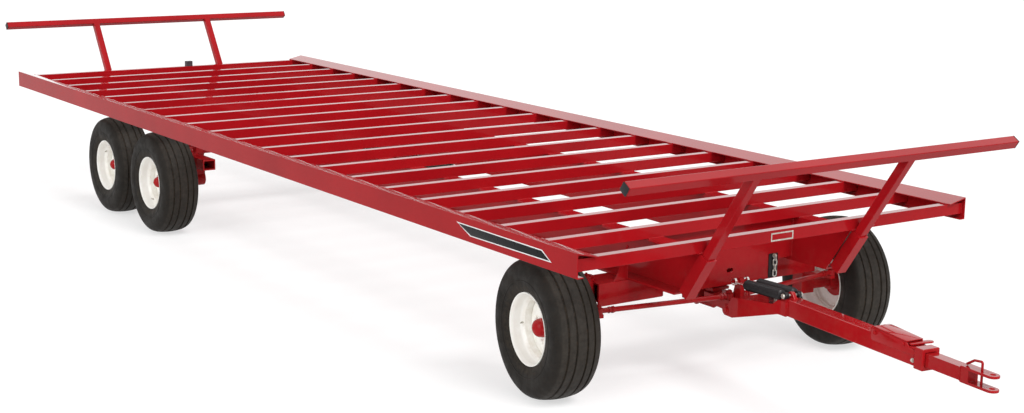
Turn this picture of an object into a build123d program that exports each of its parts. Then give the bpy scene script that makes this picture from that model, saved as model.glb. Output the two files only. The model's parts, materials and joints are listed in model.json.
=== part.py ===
from build123d import *
import os
from math import atan2, cos, degrees, radians, sin, sqrt, tan

# Bale wagon: open steel deck on two long beams, steered front axle,
# two walking beams with tandem wheels behind, sprung telescoping tongue.
# Millimetres. While it is drawn, x = 0 is the front of the deck, z = 0 the top
# of its side rails, +X towards the tongue, +Y the wagon's left.
# At the end everything moves so that the tyres stand on z = 0.

# Deck
DECK_LENGTH = 8140.0
DECK_WIDTH = 2743.0
RAIL_HEIGHT = 127.0
RAIL_WALL = 6.0
RAIL_TOP_WIDTH = 125.0
RAIL_TOP_DROP = 28.0
RAIL_FOOT_WIDTH = 40.0
CROSS_COUNT = 21
CROSS_WIDTH = 51.0
CROSS_DEPTH = 64.0
CROSS_WALL = 4.8
END_INSET = 22.0

# Long beams under the deck
BEAM_DEPTH = 254.0
BEAM_WIDTH = 102.0
BEAM_WEB = 8.0
BEAM_FLANGE = 11.0
BEAM_CENTRE_Y = 541.0

# Racks at both ends
RACK_LEAN = 34.0
RACK_TUBE = 50.8
RACK_WALL = 4.0
RACK_BAR_INSET = 15.5
RACK_RISE = 365.0
SOCKET_TUBE = 66.0
SOCKET_FIT = 0.4
SOCKET_DROP = 345.0

# Wheels and tyres
TYRE_RADIUS = 383.0
TYRE_SECTION = 279.0
TREAD_WIDTH = 226.0
LIP_RADIUS = 200.0
LIP_OFFSET = 108.0
LIP_THICKNESS = 8.0
DISC_FACE = 14.0
RIM_WALL = 5.0
BEAD_RADIUS = 189.0
DISC_WALL = 9.0
HUB_RADIUS = 62.0
HUB_INNER = 62.0
HUB_NOSE = 70.0
SPINDLE_RADIUS = 25.0
SPINDLE_TIP = 36.0
SPINDLE_FIT = 0.06
AXLE_DROP = 578.0

# Front axle and steering
AXLE_X = -680.0
AXLE_TUBE_WIDTH = 178.0
AXLE_TUBE_DEPTH = 102.0
AXLE_TUBE_WALL = 9.5
AXLE_PLATE_INNER = 354.0
AXLE_PLATE_BOTTOM = -476.0
KINGPIN_Y = 800.0
KINGPIN_RADIUS = 22.0
KINGPIN_BOSS_RADIUS = 48.0
KNUCKLE_WIDTH = 88.0
PIN_FIT = 0.06
FRONT_WHEEL_OFFSET = 235.0
STEER_AT_REST = -6.6
HEAD_X = -560.0
HEAD_HUB_RADIUS = 45.0
HEAD_PIN_RADIUS = 20.0
HEAD_HEIGHT = 72.0
HEAD_ARM_HALF = 66.0
PIVOT_PLATE = 16.0
PIVOT_WIDTH = 120.0
PIVOT_BACK = 80.0
ARM_REACH = 200.0
ARM_SPREAD = 40.0
ARM_THICKNESS = 18.0
STUD_RADIUS = 11.0
STUD_FIT = 0.3
TIE_ROD_RADIUS = 14.0
TIE_ROD_Z = -465.0
TIE_EYE_RADIUS = 24.0
TIE_EYE_HEIGHT = 32.0
BOLSTER_X = -470.0
BOLSTER_BOTTOM = -435.0
BOLSTER_STEP_Z = -330.0
BOLSTER_FOOT = 310.0
BOLSTER_SLOT = (30.0, -355.0)
SLOT_LENGTH = 48.0
SLOT_WIDTH = 24.0
PLATE = 10.0

# Tongue
TILT_X = -300.0
TILT_Z = -520.0
TILT_PIN_RADIUS = 15.0
TILT_TUBE_RADIUS = 31.0
TILT_TUBE_HALF = 86.0
YOKE_PLATE = 12.0
YOKE_LAP = 60.0
YOKE_TOP_BACK = -250.0
YOKE_TOP_LOW = -440.0
YOKE_TOP_FRONT = 60.0
YOKE_TOP_HIGH = -405.0
TONGUE_Z = -407.0
TONGUE_OUTER = 89.0
TONGUE_INNER = 63.5
TONGUE_WALL = 6.4
TONGUE_START = 100.0
TONGUE_END = 1190.0
COLLAR_LENGTH = 58.0
COLLAR_WALL = 8.0
INNER_TUCK = 430.0
INNER_REACH = 225.0
CLEVIS_REACH = 205.0
CLEVIS_PLATE = 13.0
CLEVIS_GAP = 52.0
CLEVIS_WEB = 52.0
CLEVIS_WIDTH = 62.0
HITCH_HOLE_RADIUS = 13.0
HANDLE_RADIUS = 6.0
HANDLE_FIT = 0.5
HANDLE_BACK = 68.0
SLIDE_FIT = 0.4

# Lift springs of the tongue
SPRING_SPREAD = 40.0
SPRING_RADIUS = 30.0
SPRING_WALL = 5.0
SPRING_START = 84.0
SPRING_LENGTH = 316.0
SPRING_ROD_RADIUS = 7.0
SPRING_ROD_REACH = 290.0
REAR_ANCHOR = (-319.0, -375.0)
FRONT_ANCHOR = (135.0, -348.0)
ANCHOR_PIN_RADIUS = 8.0
ANCHOR_SLACK = 7.5
ANCHOR_EYE_WALL = 6.0
ANCHOR_EYE_WIDTH = 12.0

# Rear tandem
TANDEM_X = -6008.0
TANDEM_SPACING = 885.0
REAR_WHEEL_Y = 1130.0
WALKING_BEAM_Y = 845.0
WALKING_BEAM_WIDTH = 100.0
WALKING_BEAM_DEPTH = 80.0
WALKING_BEAM_WALL = 9.5
WALKING_BEAM_OVERHANG = 197.5
TRUNNION_Z = -447.0
TRUNNION_RADIUS = 38.0
TRUNNION_LEG_Y = 670.0
TRUNNION_LEG_WIDTH = 70.0

SIDE_GAP = 5.0
FACE_GAP = 1.0


# Levels that follow from the sizes above
CROSS_TOP = -RAIL_TOP_DROP - RAIL_WALL
CROSS_BOTTOM = CROSS_TOP - CROSS_DEPTH
BEAM_BOTTOM = CROSS_BOTTOM - BEAM_DEPTH
AXLE_BOTTOM = BEAM_BOTTOM - AXLE_TUBE_DEPTH
LEAN = tan(radians(RACK_LEAN))
BEAM_INNER_Y = BEAM_CENTRE_Y - BEAM_WIDTH / 2
BEAM_OUTER_Y = BEAM_CENTRE_Y + BEAM_WIDTH / 2
FRONT_WHEEL_Y = KINGPIN_Y + FRONT_WHEEL_OFFSET
SIDES = {"left": 1, "right": -1}


def block(x0, x1, y0, y1, z0, z1):
    """A box between two corners."""
    middle = Pos((x0 + x1) / 2, (y0 + y1) / 2, (z0 + z1) / 2)
    return middle * Box(abs(x1 - x0), abs(y1 - y0), abs(z1 - z0))


def post(x, y, z0, z1, radius):
    """An upright cylinder."""
    return Pos(x, y, (z0 + z1) / 2) * Cylinder(radius, abs(z1 - z0))


def cross_bar(x, z, y0, y1, radius):
    """A cylinder that lies across the wagon."""
    return Pos(x, (y0 + y1) / 2, z) * Rot(90, 0, 0) * Cylinder(radius, abs(y1 - y0))


def plate_xz(points, y0, y1):
    """A plate whose outline lies in the XZ plane, from y0 to y1."""
    outline = make_face(Polyline([(x, y0, z) for x, z in points], close=True))
    return extrude(outline, amount=y1 - y0, dir=(0, 1, 0))


def plate_xy(points, z0, z1):
    """A flat plate whose outline is seen from above."""
    outline = make_face(Polyline([(x, y, z0) for x, y in points], close=True))
    return extrude(outline, amount=z1 - z0, dir=(0, 0, 1))


def plate_yz(points, x0, x1):
    """A plate whose outline is seen from the front, from x0 to x1."""
    outline = make_face(Polyline([(x0, y, z) for y, z in points], close=True))
    return extrude(outline, amount=x1 - x0, dir=(1, 0, 0))


def box_tube(x0, x1, size, wall, y=0.0, z=0.0):
    """A square tube along X."""
    half = size / 2
    inner = half - wall
    return block(x0, x1, y - half, y + half, z - half, z + half) - block(
        x0 - 1, x1 + 1, y - inner, y + inner, z - inner, z + inner
    )


def mirrored(shape):
    """The same piece on the other side of the wagon."""
    return mirror(shape, about=Plane.XZ)


def both(shape):
    """The piece and its mirror image, as two solids."""
    return [shape, mirrored(shape)]


# The deck

def side_rail():
    """Bent plate: upright web, top that falls inwards, short foot."""
    outer = DECK_WIDTH / 2
    inner = outer - RAIL_TOP_WIDTH
    top = plate_yz(
        [
            (outer, 0),
            (outer, -RAIL_HEIGHT),
            (outer - RAIL_FOOT_WIDTH, -RAIL_HEIGHT),
            (outer - RAIL_FOOT_WIDTH, -RAIL_HEIGHT + RAIL_WALL),
            (outer - RAIL_WALL, -RAIL_HEIGHT + RAIL_WALL),
            (outer - RAIL_WALL, -RAIL_WALL * 1.4),
            (inner, CROSS_TOP),
            (inner, -RAIL_TOP_DROP),
        ],
        -DECK_LENGTH,
        0,
    )
    return top


def cross_places():
    """The middle of each crossmember, front to rear."""
    first = -END_INSET - CROSS_WIDTH / 2
    last = -DECK_LENGTH - first
    step = (last - first) / (CROSS_COUNT - 1)
    return [first + step * i for i in range(CROSS_COUNT)]


def crossmembers():
    """Tubes between the rail webs, with a weld on top against each rail's inner edge."""
    half = DECK_WIDTH / 2 - RAIL_WALL
    outer = Box(CROSS_WIDTH, 2 * half, CROSS_DEPTH)
    inner = Box(CROSS_WIDTH - 2 * CROSS_WALL, 2 * half + 2, CROSS_DEPTH - 2 * CROSS_WALL)
    tube = Pos(0, 0, (CROSS_TOP + CROSS_BOTTOM) / 2) * (outer - inner)
    edge = DECK_WIDTH / 2 - RAIL_TOP_WIDTH
    weld = plate_yz(
        [(edge, CROSS_TOP), (edge, CROSS_TOP + RAIL_WALL), (edge - RAIL_WALL, CROSS_TOP)],
        -CROSS_WIDTH / 2,
        CROSS_WIDTH / 2,
    )
    tube += weld
    tube += mirrored(weld)
    return [Pos(x, 0, 0) * tube for x in cross_places()]


def rack_line_x(z):
    """The middle of a front rack post at height z; it clears the front member."""
    touch = -END_INSET + RACK_TUBE / 2 / cos(radians(RACK_LEAN))
    return touch + LEAN * (z - CROSS_BOTTOM)


def socket_rear_x(z):
    return rack_line_x(z) - SOCKET_TUBE / 2 / cos(radians(RACK_LEAN))


def flip_ends(shape):
    """The piece at the other end of the deck, half a turn about its middle."""
    return shape.rotate(Axis((-DECK_LENGTH / 2, 0, 0), (0, 0, 1)), 180)


def main_beams():
    """Channels with the web inside, their ends cut along the rack sockets."""
    front_top = socket_rear_x(CROSS_BOTTOM)
    front_low = socket_rear_x(BEAM_BOTTOM)
    side = [
        (front_top, CROSS_BOTTOM),
        (front_low, BEAM_BOTTOM),
        (-DECK_LENGTH - front_low, BEAM_BOTTOM),
        (-DECK_LENGTH - front_top, CROSS_BOTTOM),
    ]
    beam = plate_xz(side, BEAM_INNER_Y, BEAM_OUTER_Y)
    hollow = block(
        -DECK_LENGTH,
        0,
        BEAM_INNER_Y + BEAM_WEB,
        BEAM_OUTER_Y + 1,
        BEAM_BOTTOM + BEAM_FLANGE,
        CROSS_BOTTOM - BEAM_FLANGE,
    )
    return both(beam - hollow)


# The racks

def leaning_tube(size, wall, z0, z1, y):
    """A square tube that leans with the rack, between two heights."""
    x0, x1 = rack_line_x(z0), rack_line_x(z1)
    length = sqrt((x1 - x0) ** 2 + (z1 - z0) ** 2)
    tube = Box(size, size, length) - Box(size - 2 * wall, size - 2 * wall, length + 2)
    return Pos((x0 + x1) / 2, y, (z0 + z1) / 2) * Rot(0, RACK_LEAN, 0) * tube


def rack():
    """Two posts and a cross bar, the bar turned with the posts."""
    bar_x = rack_line_x(RACK_RISE)
    reach = RACK_TUBE / 2
    post_top = RACK_RISE - reach * cos(radians(RACK_LEAN))
    post_low = -SOCKET_DROP + RACK_TUBE
    length = DECK_WIDTH - 2 * (RAIL_WALL + RACK_BAR_INSET)
    bar = Box(RACK_TUBE, length, RACK_TUBE) - Box(
        RACK_TUBE - 2 * RACK_WALL, length + 2, RACK_TUBE - 2 * RACK_WALL
    )
    whole = Pos(bar_x, 0, RACK_RISE) * Rot(0, RACK_LEAN, 0) * bar
    for side in (1, -1):
        whole += leaning_tube(RACK_TUBE, RACK_WALL, post_low, post_top, side * BEAM_CENTRE_Y)
    return whole


def rack_socket():
    wall = (SOCKET_TUBE - RACK_TUBE) / 2 - SOCKET_FIT
    top = CROSS_BOTTOM - SOCKET_TUBE / 2 * sin(radians(RACK_LEAN)) - FACE_GAP
    return leaning_tube(SOCKET_TUBE, wall, -SOCKET_DROP, top, BEAM_CENTRE_Y)


# Wheels, drawn about their own middle with the outside towards +Y

def revolved(profile):
    """Turns points (radius, offset) about the wheel's axis."""
    face = make_face(Polyline([(r, o, 0) for r, o in profile], close=True))
    return revolve(face, Axis.Y, 360)


def tyre():
    """Low implement tyre; its beads sit on the rim between the lips."""
    half = TYRE_SECTION / 2
    tread = TREAD_WIDTH / 2
    seat = LIP_OFFSET - LIP_THICKNESS
    side = [
        (BEAD_RADIUS, -seat),
        (LIP_RADIUS + 1, -seat),
        (LIP_RADIUS + 12, -half * 0.87),
        ((LIP_RADIUS + TYRE_RADIUS) / 2, -half),
        (TYRE_RADIUS - 22, -half * 0.88),
        (TYRE_RADIUS, -tread * 0.78),
    ]
    return revolved(side + [(r, -o) for r, o in reversed(side)])


def rim():
    """Barrel with turned-out lips and a dished disc."""
    lip, out, wall = LIP_RADIUS, LIP_OFFSET, LIP_THICKNESS
    seat, well = BEAD_RADIUS, BEAD_RADIUS - RIM_WALL
    eye = HUB_RADIUS + 0.5
    dish = DISC_FACE - 22
    profile = [
        (lip, out),
        (lip, out - wall),
        (seat, out - wall),
        (seat, -out + wall),
        (lip, -out + wall),
        (lip, -out),
        (well, -out),
        (well, dish),
        (150, dish),
        (98, DISC_FACE),
        (eye, DISC_FACE),
        (eye, DISC_FACE + DISC_WALL),
        (102, DISC_FACE + DISC_WALL),
        (154, dish + DISC_WALL),
        (well, dish + DISC_WALL),
        (well, out),
    ]
    return revolved(profile)


def hub():
    """Flanged hub behind the disc, with its barrel and cap through the disc."""
    bore = SPINDLE_RADIUS + SPINDLE_FIT
    profile = [
        (bore, -HUB_INNER),
        (48, -HUB_INNER),
        (54, DISC_FACE - 25),
        (92, DISC_FACE - 25),
        (92, DISC_FACE),
        (HUB_RADIUS, DISC_FACE),
        (HUB_RADIUS, DISC_FACE + DISC_WALL + 4),
        (44, DISC_FACE + DISC_WALL + 12),
        (38, HUB_NOSE - 12),
        (24, HUB_NOSE - 2),
        (0, HUB_NOSE),
        (0, SPINDLE_TIP + 4),
        (bore, SPINDLE_TIP + 4),
    ]
    return revolved(profile)


def wheel_set(x, y, side):
    """Tyre, rim and hub on one spindle; side is 1 on the left."""
    spot = Pos(x, y, -AXLE_DROP)
    pieces = {}
    for name, shape in (("tyre", tyre()), ("rim", rim()), ("hub", hub())):
        if side < 0:
            shape = mirrored(shape)
        pieces[name] = spot * shape
    return pieces


def spindle(x, z, from_y, wheel_y):
    """Shouldered shaft that the hub turns on, from its carrier at from_y; on the left."""
    shaft = cross_bar(x, z, from_y, wheel_y - HUB_INNER - 2, SPINDLE_RADIUS + 9)
    return shaft + cross_bar(x, z, from_y, wheel_y + SPINDLE_TIP, SPINDLE_RADIUS)


# Front axle and steering

def axle_tube(x, half_length):
    """Rectangular tube under the long beams, open at its ends."""
    half = AXLE_TUBE_WIDTH / 2
    wall = AXLE_TUBE_WALL
    outer = block(x - half, x + half, -half_length, half_length, AXLE_BOTTOM, BEAM_BOTTOM)
    return outer - block(
        x - half + wall,
        x + half - wall,
        -half_length - 1,
        half_length + 1,
        AXLE_BOTTOM + wall,
        BEAM_BOTTOM - wall,
    )


BOSS_LOW = AXLE_BOTTOM - 12
BOSS_HIGH = BEAM_BOTTOM + 18


def front_axle():
    """Tube across the long beams, a deeper plate and a kingpin boss at each end."""
    axle = axle_tube(AXLE_X, KINGPIN_Y - 15)
    face = AXLE_X + AXLE_TUBE_WIDTH / 2
    for side in (1, -1):
        inner, outer = side * AXLE_PLATE_INNER, side * (KINGPIN_Y - 10)
        axle += block(face, face + PLATE, inner, outer, AXLE_PLATE_BOTTOM, BEAM_BOTTOM)
    for side in (1, -1):
        axle += post(AXLE_X, side * KINGPIN_Y, BOSS_LOW, BOSS_HIGH, KINGPIN_BOSS_RADIUS)
    for side in (1, -1):
        bore = KINGPIN_RADIUS + PIN_FIT
        axle -= post(AXLE_X, side * KINGPIN_Y, BOSS_LOW - 1, BOSS_HIGH + 1, bore)
    return axle


def front_bolster():
    """Stepped plate between the long beams ahead of the axle, and a gusset outside each."""
    edge, foot_edge = BEAM_INNER_Y, BOLSTER_FOOT
    front_face = AXLE_X + AXLE_TUBE_WIDTH / 2
    outline = [
        (-edge, CROSS_BOTTOM),
        (edge, CROSS_BOTTOM),
        (edge, BOLSTER_STEP_Z),
        (foot_edge, BOLSTER_STEP_Z),
        (foot_edge, BOLSTER_BOTTOM),
        (-foot_edge, BOLSTER_BOTTOM),
        (-foot_edge, BOLSTER_STEP_Z),
        (-edge, BOLSTER_STEP_Z),
    ]
    plate = plate_yz(outline, BOLSTER_X - PLATE, BOLSTER_X)
    slot_y, slot_z = BOLSTER_SLOT
    slot = extrude(SlotOverall(SLOT_LENGTH, SLOT_WIDTH), amount=2 * PLATE, both=True)
    plate -= Pos(BOLSTER_X, slot_y, slot_z) * Rot(0, 0, 90) * Rot(90, 0, 0) * slot
    foot = block(
        front_face, BOLSTER_X - PLATE, -foot_edge, foot_edge, BOLSTER_BOTTOM, BOLSTER_BOTTOM + PLATE
    )
    gusset = [
        (BEAM_OUTER_Y, BEAM_BOTTOM),
        (BEAM_OUTER_Y + 85, BEAM_BOTTOM),
        (BEAM_OUTER_Y + 60, BEAM_BOTTOM + 40),
        (BEAM_OUTER_Y, BEAM_BOTTOM + 190),
    ]
    return [plate + foot] + both(plate_yz(gusset, front_face - PLATE, front_face))


HEAD_TOP = AXLE_BOTTOM - PIVOT_PLATE - FACE_GAP
HEAD_LOW = HEAD_TOP - HEAD_HEIGHT
PIVOT_BOTTOM = HEAD_LOW - FACE_GAP - PIVOT_PLATE
ARM_TOP = TIE_ROD_Z - TIE_EYE_HEIGHT / 2 - FACE_GAP
STUD_TOP = TIE_ROD_Z + TIE_EYE_HEIGHT / 2 + 3


def pivot_bracket():
    """Two plates under the axle that hold the steering head's upright pin."""
    back = AXLE_X - PIVOT_BACK
    front = HEAD_X + HEAD_HUB_RADIUS + 10
    web_front = HEAD_X - HEAD_HUB_RADIUS - 20
    half = PIVOT_WIDTH / 2
    bracket = block(back, front, -half, half, AXLE_BOTTOM - PIVOT_PLATE, AXLE_BOTTOM)
    bracket += block(back, front, -half, half, PIVOT_BOTTOM, PIVOT_BOTTOM + PIVOT_PLATE)
    bracket += block(back, web_front, -half, half, PIVOT_BOTTOM, AXLE_BOTTOM)
    return bracket + post(HEAD_X, 0, PIVOT_BOTTOM - 8, AXLE_BOTTOM - 2, HEAD_PIN_RADIUS)


def steering_head():
    """Hub on the upright pin, arm forward to the tilt tube, lug for the springs."""
    ball_x = HEAD_X + ARM_REACH
    half = TILT_TUBE_HALF
    anchor_x, anchor_z = REAR_ANCHOR
    head = post(HEAD_X, 0, HEAD_LOW, HEAD_TOP, HEAD_HUB_RADIUS)
    head += block(HEAD_X, TILT_X, -HEAD_ARM_HALF, HEAD_ARM_HALF, HEAD_LOW + SIDE_GAP, ARM_TOP)
    head += cross_bar(TILT_X, TILT_Z, -half, half, TILT_TUBE_RADIUS)
    lug = [
        (ball_x - 20, ARM_TOP - 10),
        (TILT_X, ARM_TOP - 10),
        (anchor_x + 20, anchor_z),
        (anchor_x + 12, anchor_z + 16),
        (anchor_x - 12, anchor_z + 16),
        (anchor_x - 24, anchor_z),
    ]
    head += plate_xz(lug, -11, 11)
    for y in (ARM_SPREAD, -ARM_SPREAD):
        head += post(ball_x, y, ARM_TOP - 5, STUD_TOP, STUD_RADIUS)
    pin_half = SPRING_SPREAD + ANCHOR_EYE_WIDTH
    head += cross_bar(anchor_x, anchor_z, -pin_half, pin_half, ANCHOR_PIN_RADIUS)
    head -= cross_bar(TILT_X, TILT_Z, -half - 1, half + 1, TILT_PIN_RADIUS + PIN_FIT)
    return head - post(HEAD_X, 0, HEAD_LOW - 1, HEAD_TOP + 1, HEAD_PIN_RADIUS + PIN_FIT)


def knuckle():
    """Block under the left kingpin boss with kingpin, spindle and steering arm."""
    half = KNUCKLE_WIDTH / 2
    y, z = KINGPIN_Y, -AXLE_DROP
    top = BOSS_LOW - FACE_GAP
    cap = BOSS_HIGH + FACE_GAP
    ball_x, ball_y = AXLE_X + ARM_REACH, y + ARM_SPREAD
    piece = block(AXLE_X - half, AXLE_X + half, y - half, y + half, z - half, top)
    piece += post(AXLE_X, y, top - 10, cap + 12, KINGPIN_RADIUS)
    piece += post(AXLE_X, y, cap, cap + 12, KINGPIN_RADIUS + 14)
    piece += spindle(AXLE_X, z, y, FRONT_WHEEL_Y)
    outline = [
        (AXLE_X + 20, y - 40),
        (ball_x + 22, ball_y - 20),
        (ball_x + 22, ball_y + 12),
        (ball_x + 6, ball_y + 22),
        (AXLE_X + 20, y + 40),
    ]
    piece += plate_xy(outline, ARM_TOP - ARM_THICKNESS, ARM_TOP)
    return piece + post(ball_x, ball_y, ARM_TOP - 5, STUD_TOP, STUD_RADIUS)


def stud_place(x, y, side):
    """Where the stud of the steering arm that pivots at x, y stands at rest."""
    turn = radians(STEER_AT_REST)
    reach, spread = ARM_REACH, side * ARM_SPREAD
    return x + reach * cos(turn) - spread * sin(turn), y + reach * sin(turn) + spread * cos(turn)


def tie_rod(side):
    """Rod from the head's stud to the knuckle's, with an eye at each end."""
    inner = stud_place(HEAD_X, 0, side)
    outer = stud_place(AXLE_X, side * KINGPIN_Y, side)
    dx, dy = outer[0] - inner[0], outer[1] - inner[1]
    bar = Rot(0, 90, 0) * Cylinder(TIE_ROD_RADIUS, sqrt(dx * dx + dy * dy) - TIE_EYE_RADIUS)
    middle = Pos((inner[0] + outer[0]) / 2, (inner[1] + outer[1]) / 2, TIE_ROD_Z)
    rod = middle * Rot(0, 0, degrees(atan2(dy, dx))) * bar
    low, high = TIE_ROD_Z - TIE_EYE_HEIGHT / 2, TIE_ROD_Z + TIE_EYE_HEIGHT / 2
    for x, y in (inner, outer):
        rod += post(x, y, low, high, TIE_EYE_RADIUS)
    for x, y in (inner, outer):
        rod -= post(x, y, low - 1, high + 1, STUD_RADIUS + STUD_FIT)
    return rod


# The tongue, drawn straight ahead of the steering head

TUBE_TOP = TONGUE_Z + TONGUE_OUTER / 2
TUBE_LOW = TONGUE_Z - TONGUE_OUTER / 2


def tongue_yoke():
    """Side plates that close from the tilt tube to the tongue, a top plate, a pin."""
    wide = TILT_TUBE_HALF + SIDE_GAP
    narrow = TONGUE_OUTER / 2
    thick = YOKE_PLATE
    end = TONGUE_START + YOKE_LAP
    flank = plate_xz(
        [
            (TILT_X - 30, TILT_Z - 12),
            (TILT_X - 12, TILT_Z - 30),
            (TILT_X + 60, TILT_Z - 30),
            (TONGUE_START, TUBE_LOW),
            (end, TUBE_LOW),
            (end, TUBE_TOP - 12),
            (TONGUE_START, TUBE_TOP - 12),
            (YOKE_TOP_FRONT, YOKE_TOP_HIGH),
            (YOKE_TOP_BACK, YOKE_TOP_LOW),
            (TILT_X + 18, TILT_Z + 30),
            (TILT_X - 12, TILT_Z + 30),
            (TILT_X - 30, TILT_Z + 12),
        ],
        0,
        wide + thick,
    )
    bend = TILT_X + 110
    plan = plate_xy(
        [
            (TILT_X - 40, wide),
            (bend, wide),
            (TONGUE_START + 20, narrow),
            (end + 1, narrow),
            (end + 1, narrow + thick),
            (TONGUE_START + 20, narrow + thick),
            (bend, wide + thick),
            (TILT_X - 40, wide + thick),
        ],
        TILT_Z - 60,
        TUBE_TOP,
    )
    cover = plate_xz(
        [
            (YOKE_TOP_BACK, YOKE_TOP_LOW - PLATE),
            (YOKE_TOP_BACK, YOKE_TOP_LOW),
            (YOKE_TOP_FRONT, YOKE_TOP_HIGH),
            (YOKE_TOP_FRONT, YOKE_TOP_HIGH - PLATE),
        ],
        0,
        wide + 2,
    )
    inside = plate_xy(
        [
            (TILT_X - 40, 0),
            (TONGUE_START + 20, 0),
            (TONGUE_START + 20, narrow + 2),
            (bend, wide + 2),
            (TILT_X - 40, wide + 2),
        ],
        TILT_Z - 60,
        TUBE_TOP,
    )
    left = (flank & plan) + (cover & inside)
    pin_half = wide + thick + 10
    return left + mirrored(left) + cross_bar(TILT_X, TILT_Z, -pin_half, pin_half, TILT_PIN_RADIUS)


def square_ring(x0, x1, outer, inner, z):
    """A square ring round the tongue's line."""
    return block(x0, x1, -outer, outer, z - outer, z + outer) - block(
        x0 - 1, x1 + 1, -inner, inner, z - inner, z + inner
    )


def tongue_tube():
    """Outer tube with a collar round its mouth and a guide inside it."""
    half = TONGUE_OUTER / 2
    tube = square_ring(TONGUE_START, TONGUE_END, half, half - TONGUE_WALL, TONGUE_Z)
    back = TONGUE_END - COLLAR_LENGTH
    tube += square_ring(back, TONGUE_END, half + COLLAR_WALL, half - 1, TONGUE_Z)
    slide = TONGUE_INNER / 2 + SLIDE_FIT
    return tube + square_ring(back, TONGUE_END, half - TONGUE_WALL + 1, slide, TONGUE_Z)


def latch():
    """Sloping cover over the latch, with its hand lever and lip."""
    rear, front = TONGUE_END - 373, TONGUE_END - 114
    cover = plate_xz(
        [
            (rear, TUBE_TOP),
            (rear, TUBE_TOP + 26),
            (rear + 30, TUBE_TOP + 34),
            (front, TUBE_TOP + 8),
            (front, TUBE_TOP),
        ],
        -38,
        38,
    )
    lever = plate_xz(
        [
            (front - 90, TUBE_TOP + 12),
            (front - 20, TUBE_TOP + 28),
            (front + 100, TUBE_TOP + 44),
            (front + 100, TUBE_TOP + 36),
            (front - 20, TUBE_TOP + 20),
            (front - 90, TUBE_TOP + 4),
        ],
        -8,
        22,
    )
    return cover + lever


def spring_line():
    """Length and slope of the line from the rear anchor to the front one."""
    dx = FRONT_ANCHOR[0] - REAR_ANCHOR[0]
    dz = FRONT_ANCHOR[1] - REAR_ANCHOR[1]
    return sqrt(dx * dx + dz * dz), atan2(dz, dx)


def on_spring_line(start, end, y, radius):
    """A cylinder on a spring's line, between two distances from the rear anchor."""
    slope = spring_line()[1]
    middle = (start + end) / 2
    x = REAR_ANCHOR[0] + middle * cos(slope)
    z = REAR_ANCHOR[1] + middle * sin(slope)
    return Pos(x, y, z) * Rot(0, 90 - degrees(slope), 0) * Cylinder(radius, end - start)


def lift_springs():
    """Two spring cans and the bracket that holds their front ends on the tongue."""
    length = spring_line()[0]
    end = SPRING_START + SPRING_LENGTH
    inner = SPRING_RADIUS - SPRING_WALL
    x, z = FRONT_ANCHOR
    whole = cross_bar(x, z, -SPRING_SPREAD - 18, SPRING_SPREAD + 18, ANCHOR_PIN_RADIUS)
    whole += plate_xz(
        [(x - 30, TUBE_TOP), (x + 34, TUBE_TOP), (x + 12, z + 12), (x - 12, z + 12)], -10, 10
    )
    for y in (SPRING_SPREAD, -SPRING_SPREAD):
        can = on_spring_line(SPRING_START, end, y, SPRING_RADIUS)
        can -= on_spring_line(SPRING_START + SPRING_WALL, end - SPRING_WALL, y, inner)
        can -= on_spring_line(SPRING_START - 1, SPRING_START + 20, y, SPRING_ROD_RADIUS + PIN_FIT)
        whole += can + on_spring_line(end - 2, length, y, 10)
        whole += cross_bar(x, z, y - 8, y + 8, 13)
    return whole


def lift_rods():
    """Twin rods from the cans back to the pin on the steering head."""
    eye_inner = ANCHOR_PIN_RADIUS + ANCHOR_SLACK
    eye_outer = eye_inner + ANCHOR_EYE_WALL
    half = ANCHOR_EYE_WIDTH / 2
    x, z = REAR_ANCHOR
    rods = []
    for y in (SPRING_SPREAD, -SPRING_SPREAD):
        rod = on_spring_line(eye_outer - 2, SPRING_ROD_REACH, y, SPRING_ROD_RADIUS)
        rod += on_spring_line(SPRING_ROD_REACH - 14, SPRING_ROD_REACH, y, SPRING_RADIUS - SPRING_WALL - 6)
        rod += cross_bar(x, z, y - half, y + half, eye_outer)
        rods.append(rod - cross_bar(x, z, y - half - 1, y + half + 1, eye_inner))
    return rods


def inner_tube():
    """Telescoping tube with the shoe that guides its rear end."""
    half = TONGUE_INNER / 2
    rear = TONGUE_END - INNER_TUCK
    tube = square_ring(rear, TONGUE_END + INNER_REACH, half, half - TONGUE_WALL, TONGUE_Z)
    shoe = TONGUE_OUTER / 2 - TONGUE_WALL - SLIDE_FIT
    return tube + square_ring(rear, rear + 50, shoe, half - 1, TONGUE_Z)


def hitch_clevis():
    """Block on the end of the inner tube with a plate above and below the gap."""
    back = TONGUE_END + INNER_REACH
    tip = back + CLEVIS_REACH - CLEVIS_WIDTH / 2
    half = CLEVIS_WIDTH / 2
    inner = CLEVIS_GAP / 2
    outer = inner + CLEVIS_PLATE
    whole = block(back, back + CLEVIS_WEB, -half, half, TONGUE_Z - outer, TONGUE_Z + outer)
    for low, high in ((-outer, -inner), (inner, outer)):
        whole += block(back, tip, -half, half, TONGUE_Z + low, TONGUE_Z + high)
        whole += post(tip, 0, TONGUE_Z + low, TONGUE_Z + high, half)
        whole -= post(tip, 0, TONGUE_Z + low - 1, TONGUE_Z + high + 1, HITCH_HOLE_RADIUS)
    for low, high in ((-outer, -inner), (inner, outer)):
        hole = HANDLE_RADIUS + HANDLE_FIT
        whole -= post(tip - HANDLE_BACK, 0, TONGUE_Z + low - 1, TONGUE_Z + high + 1, hole)
    return whole


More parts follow.
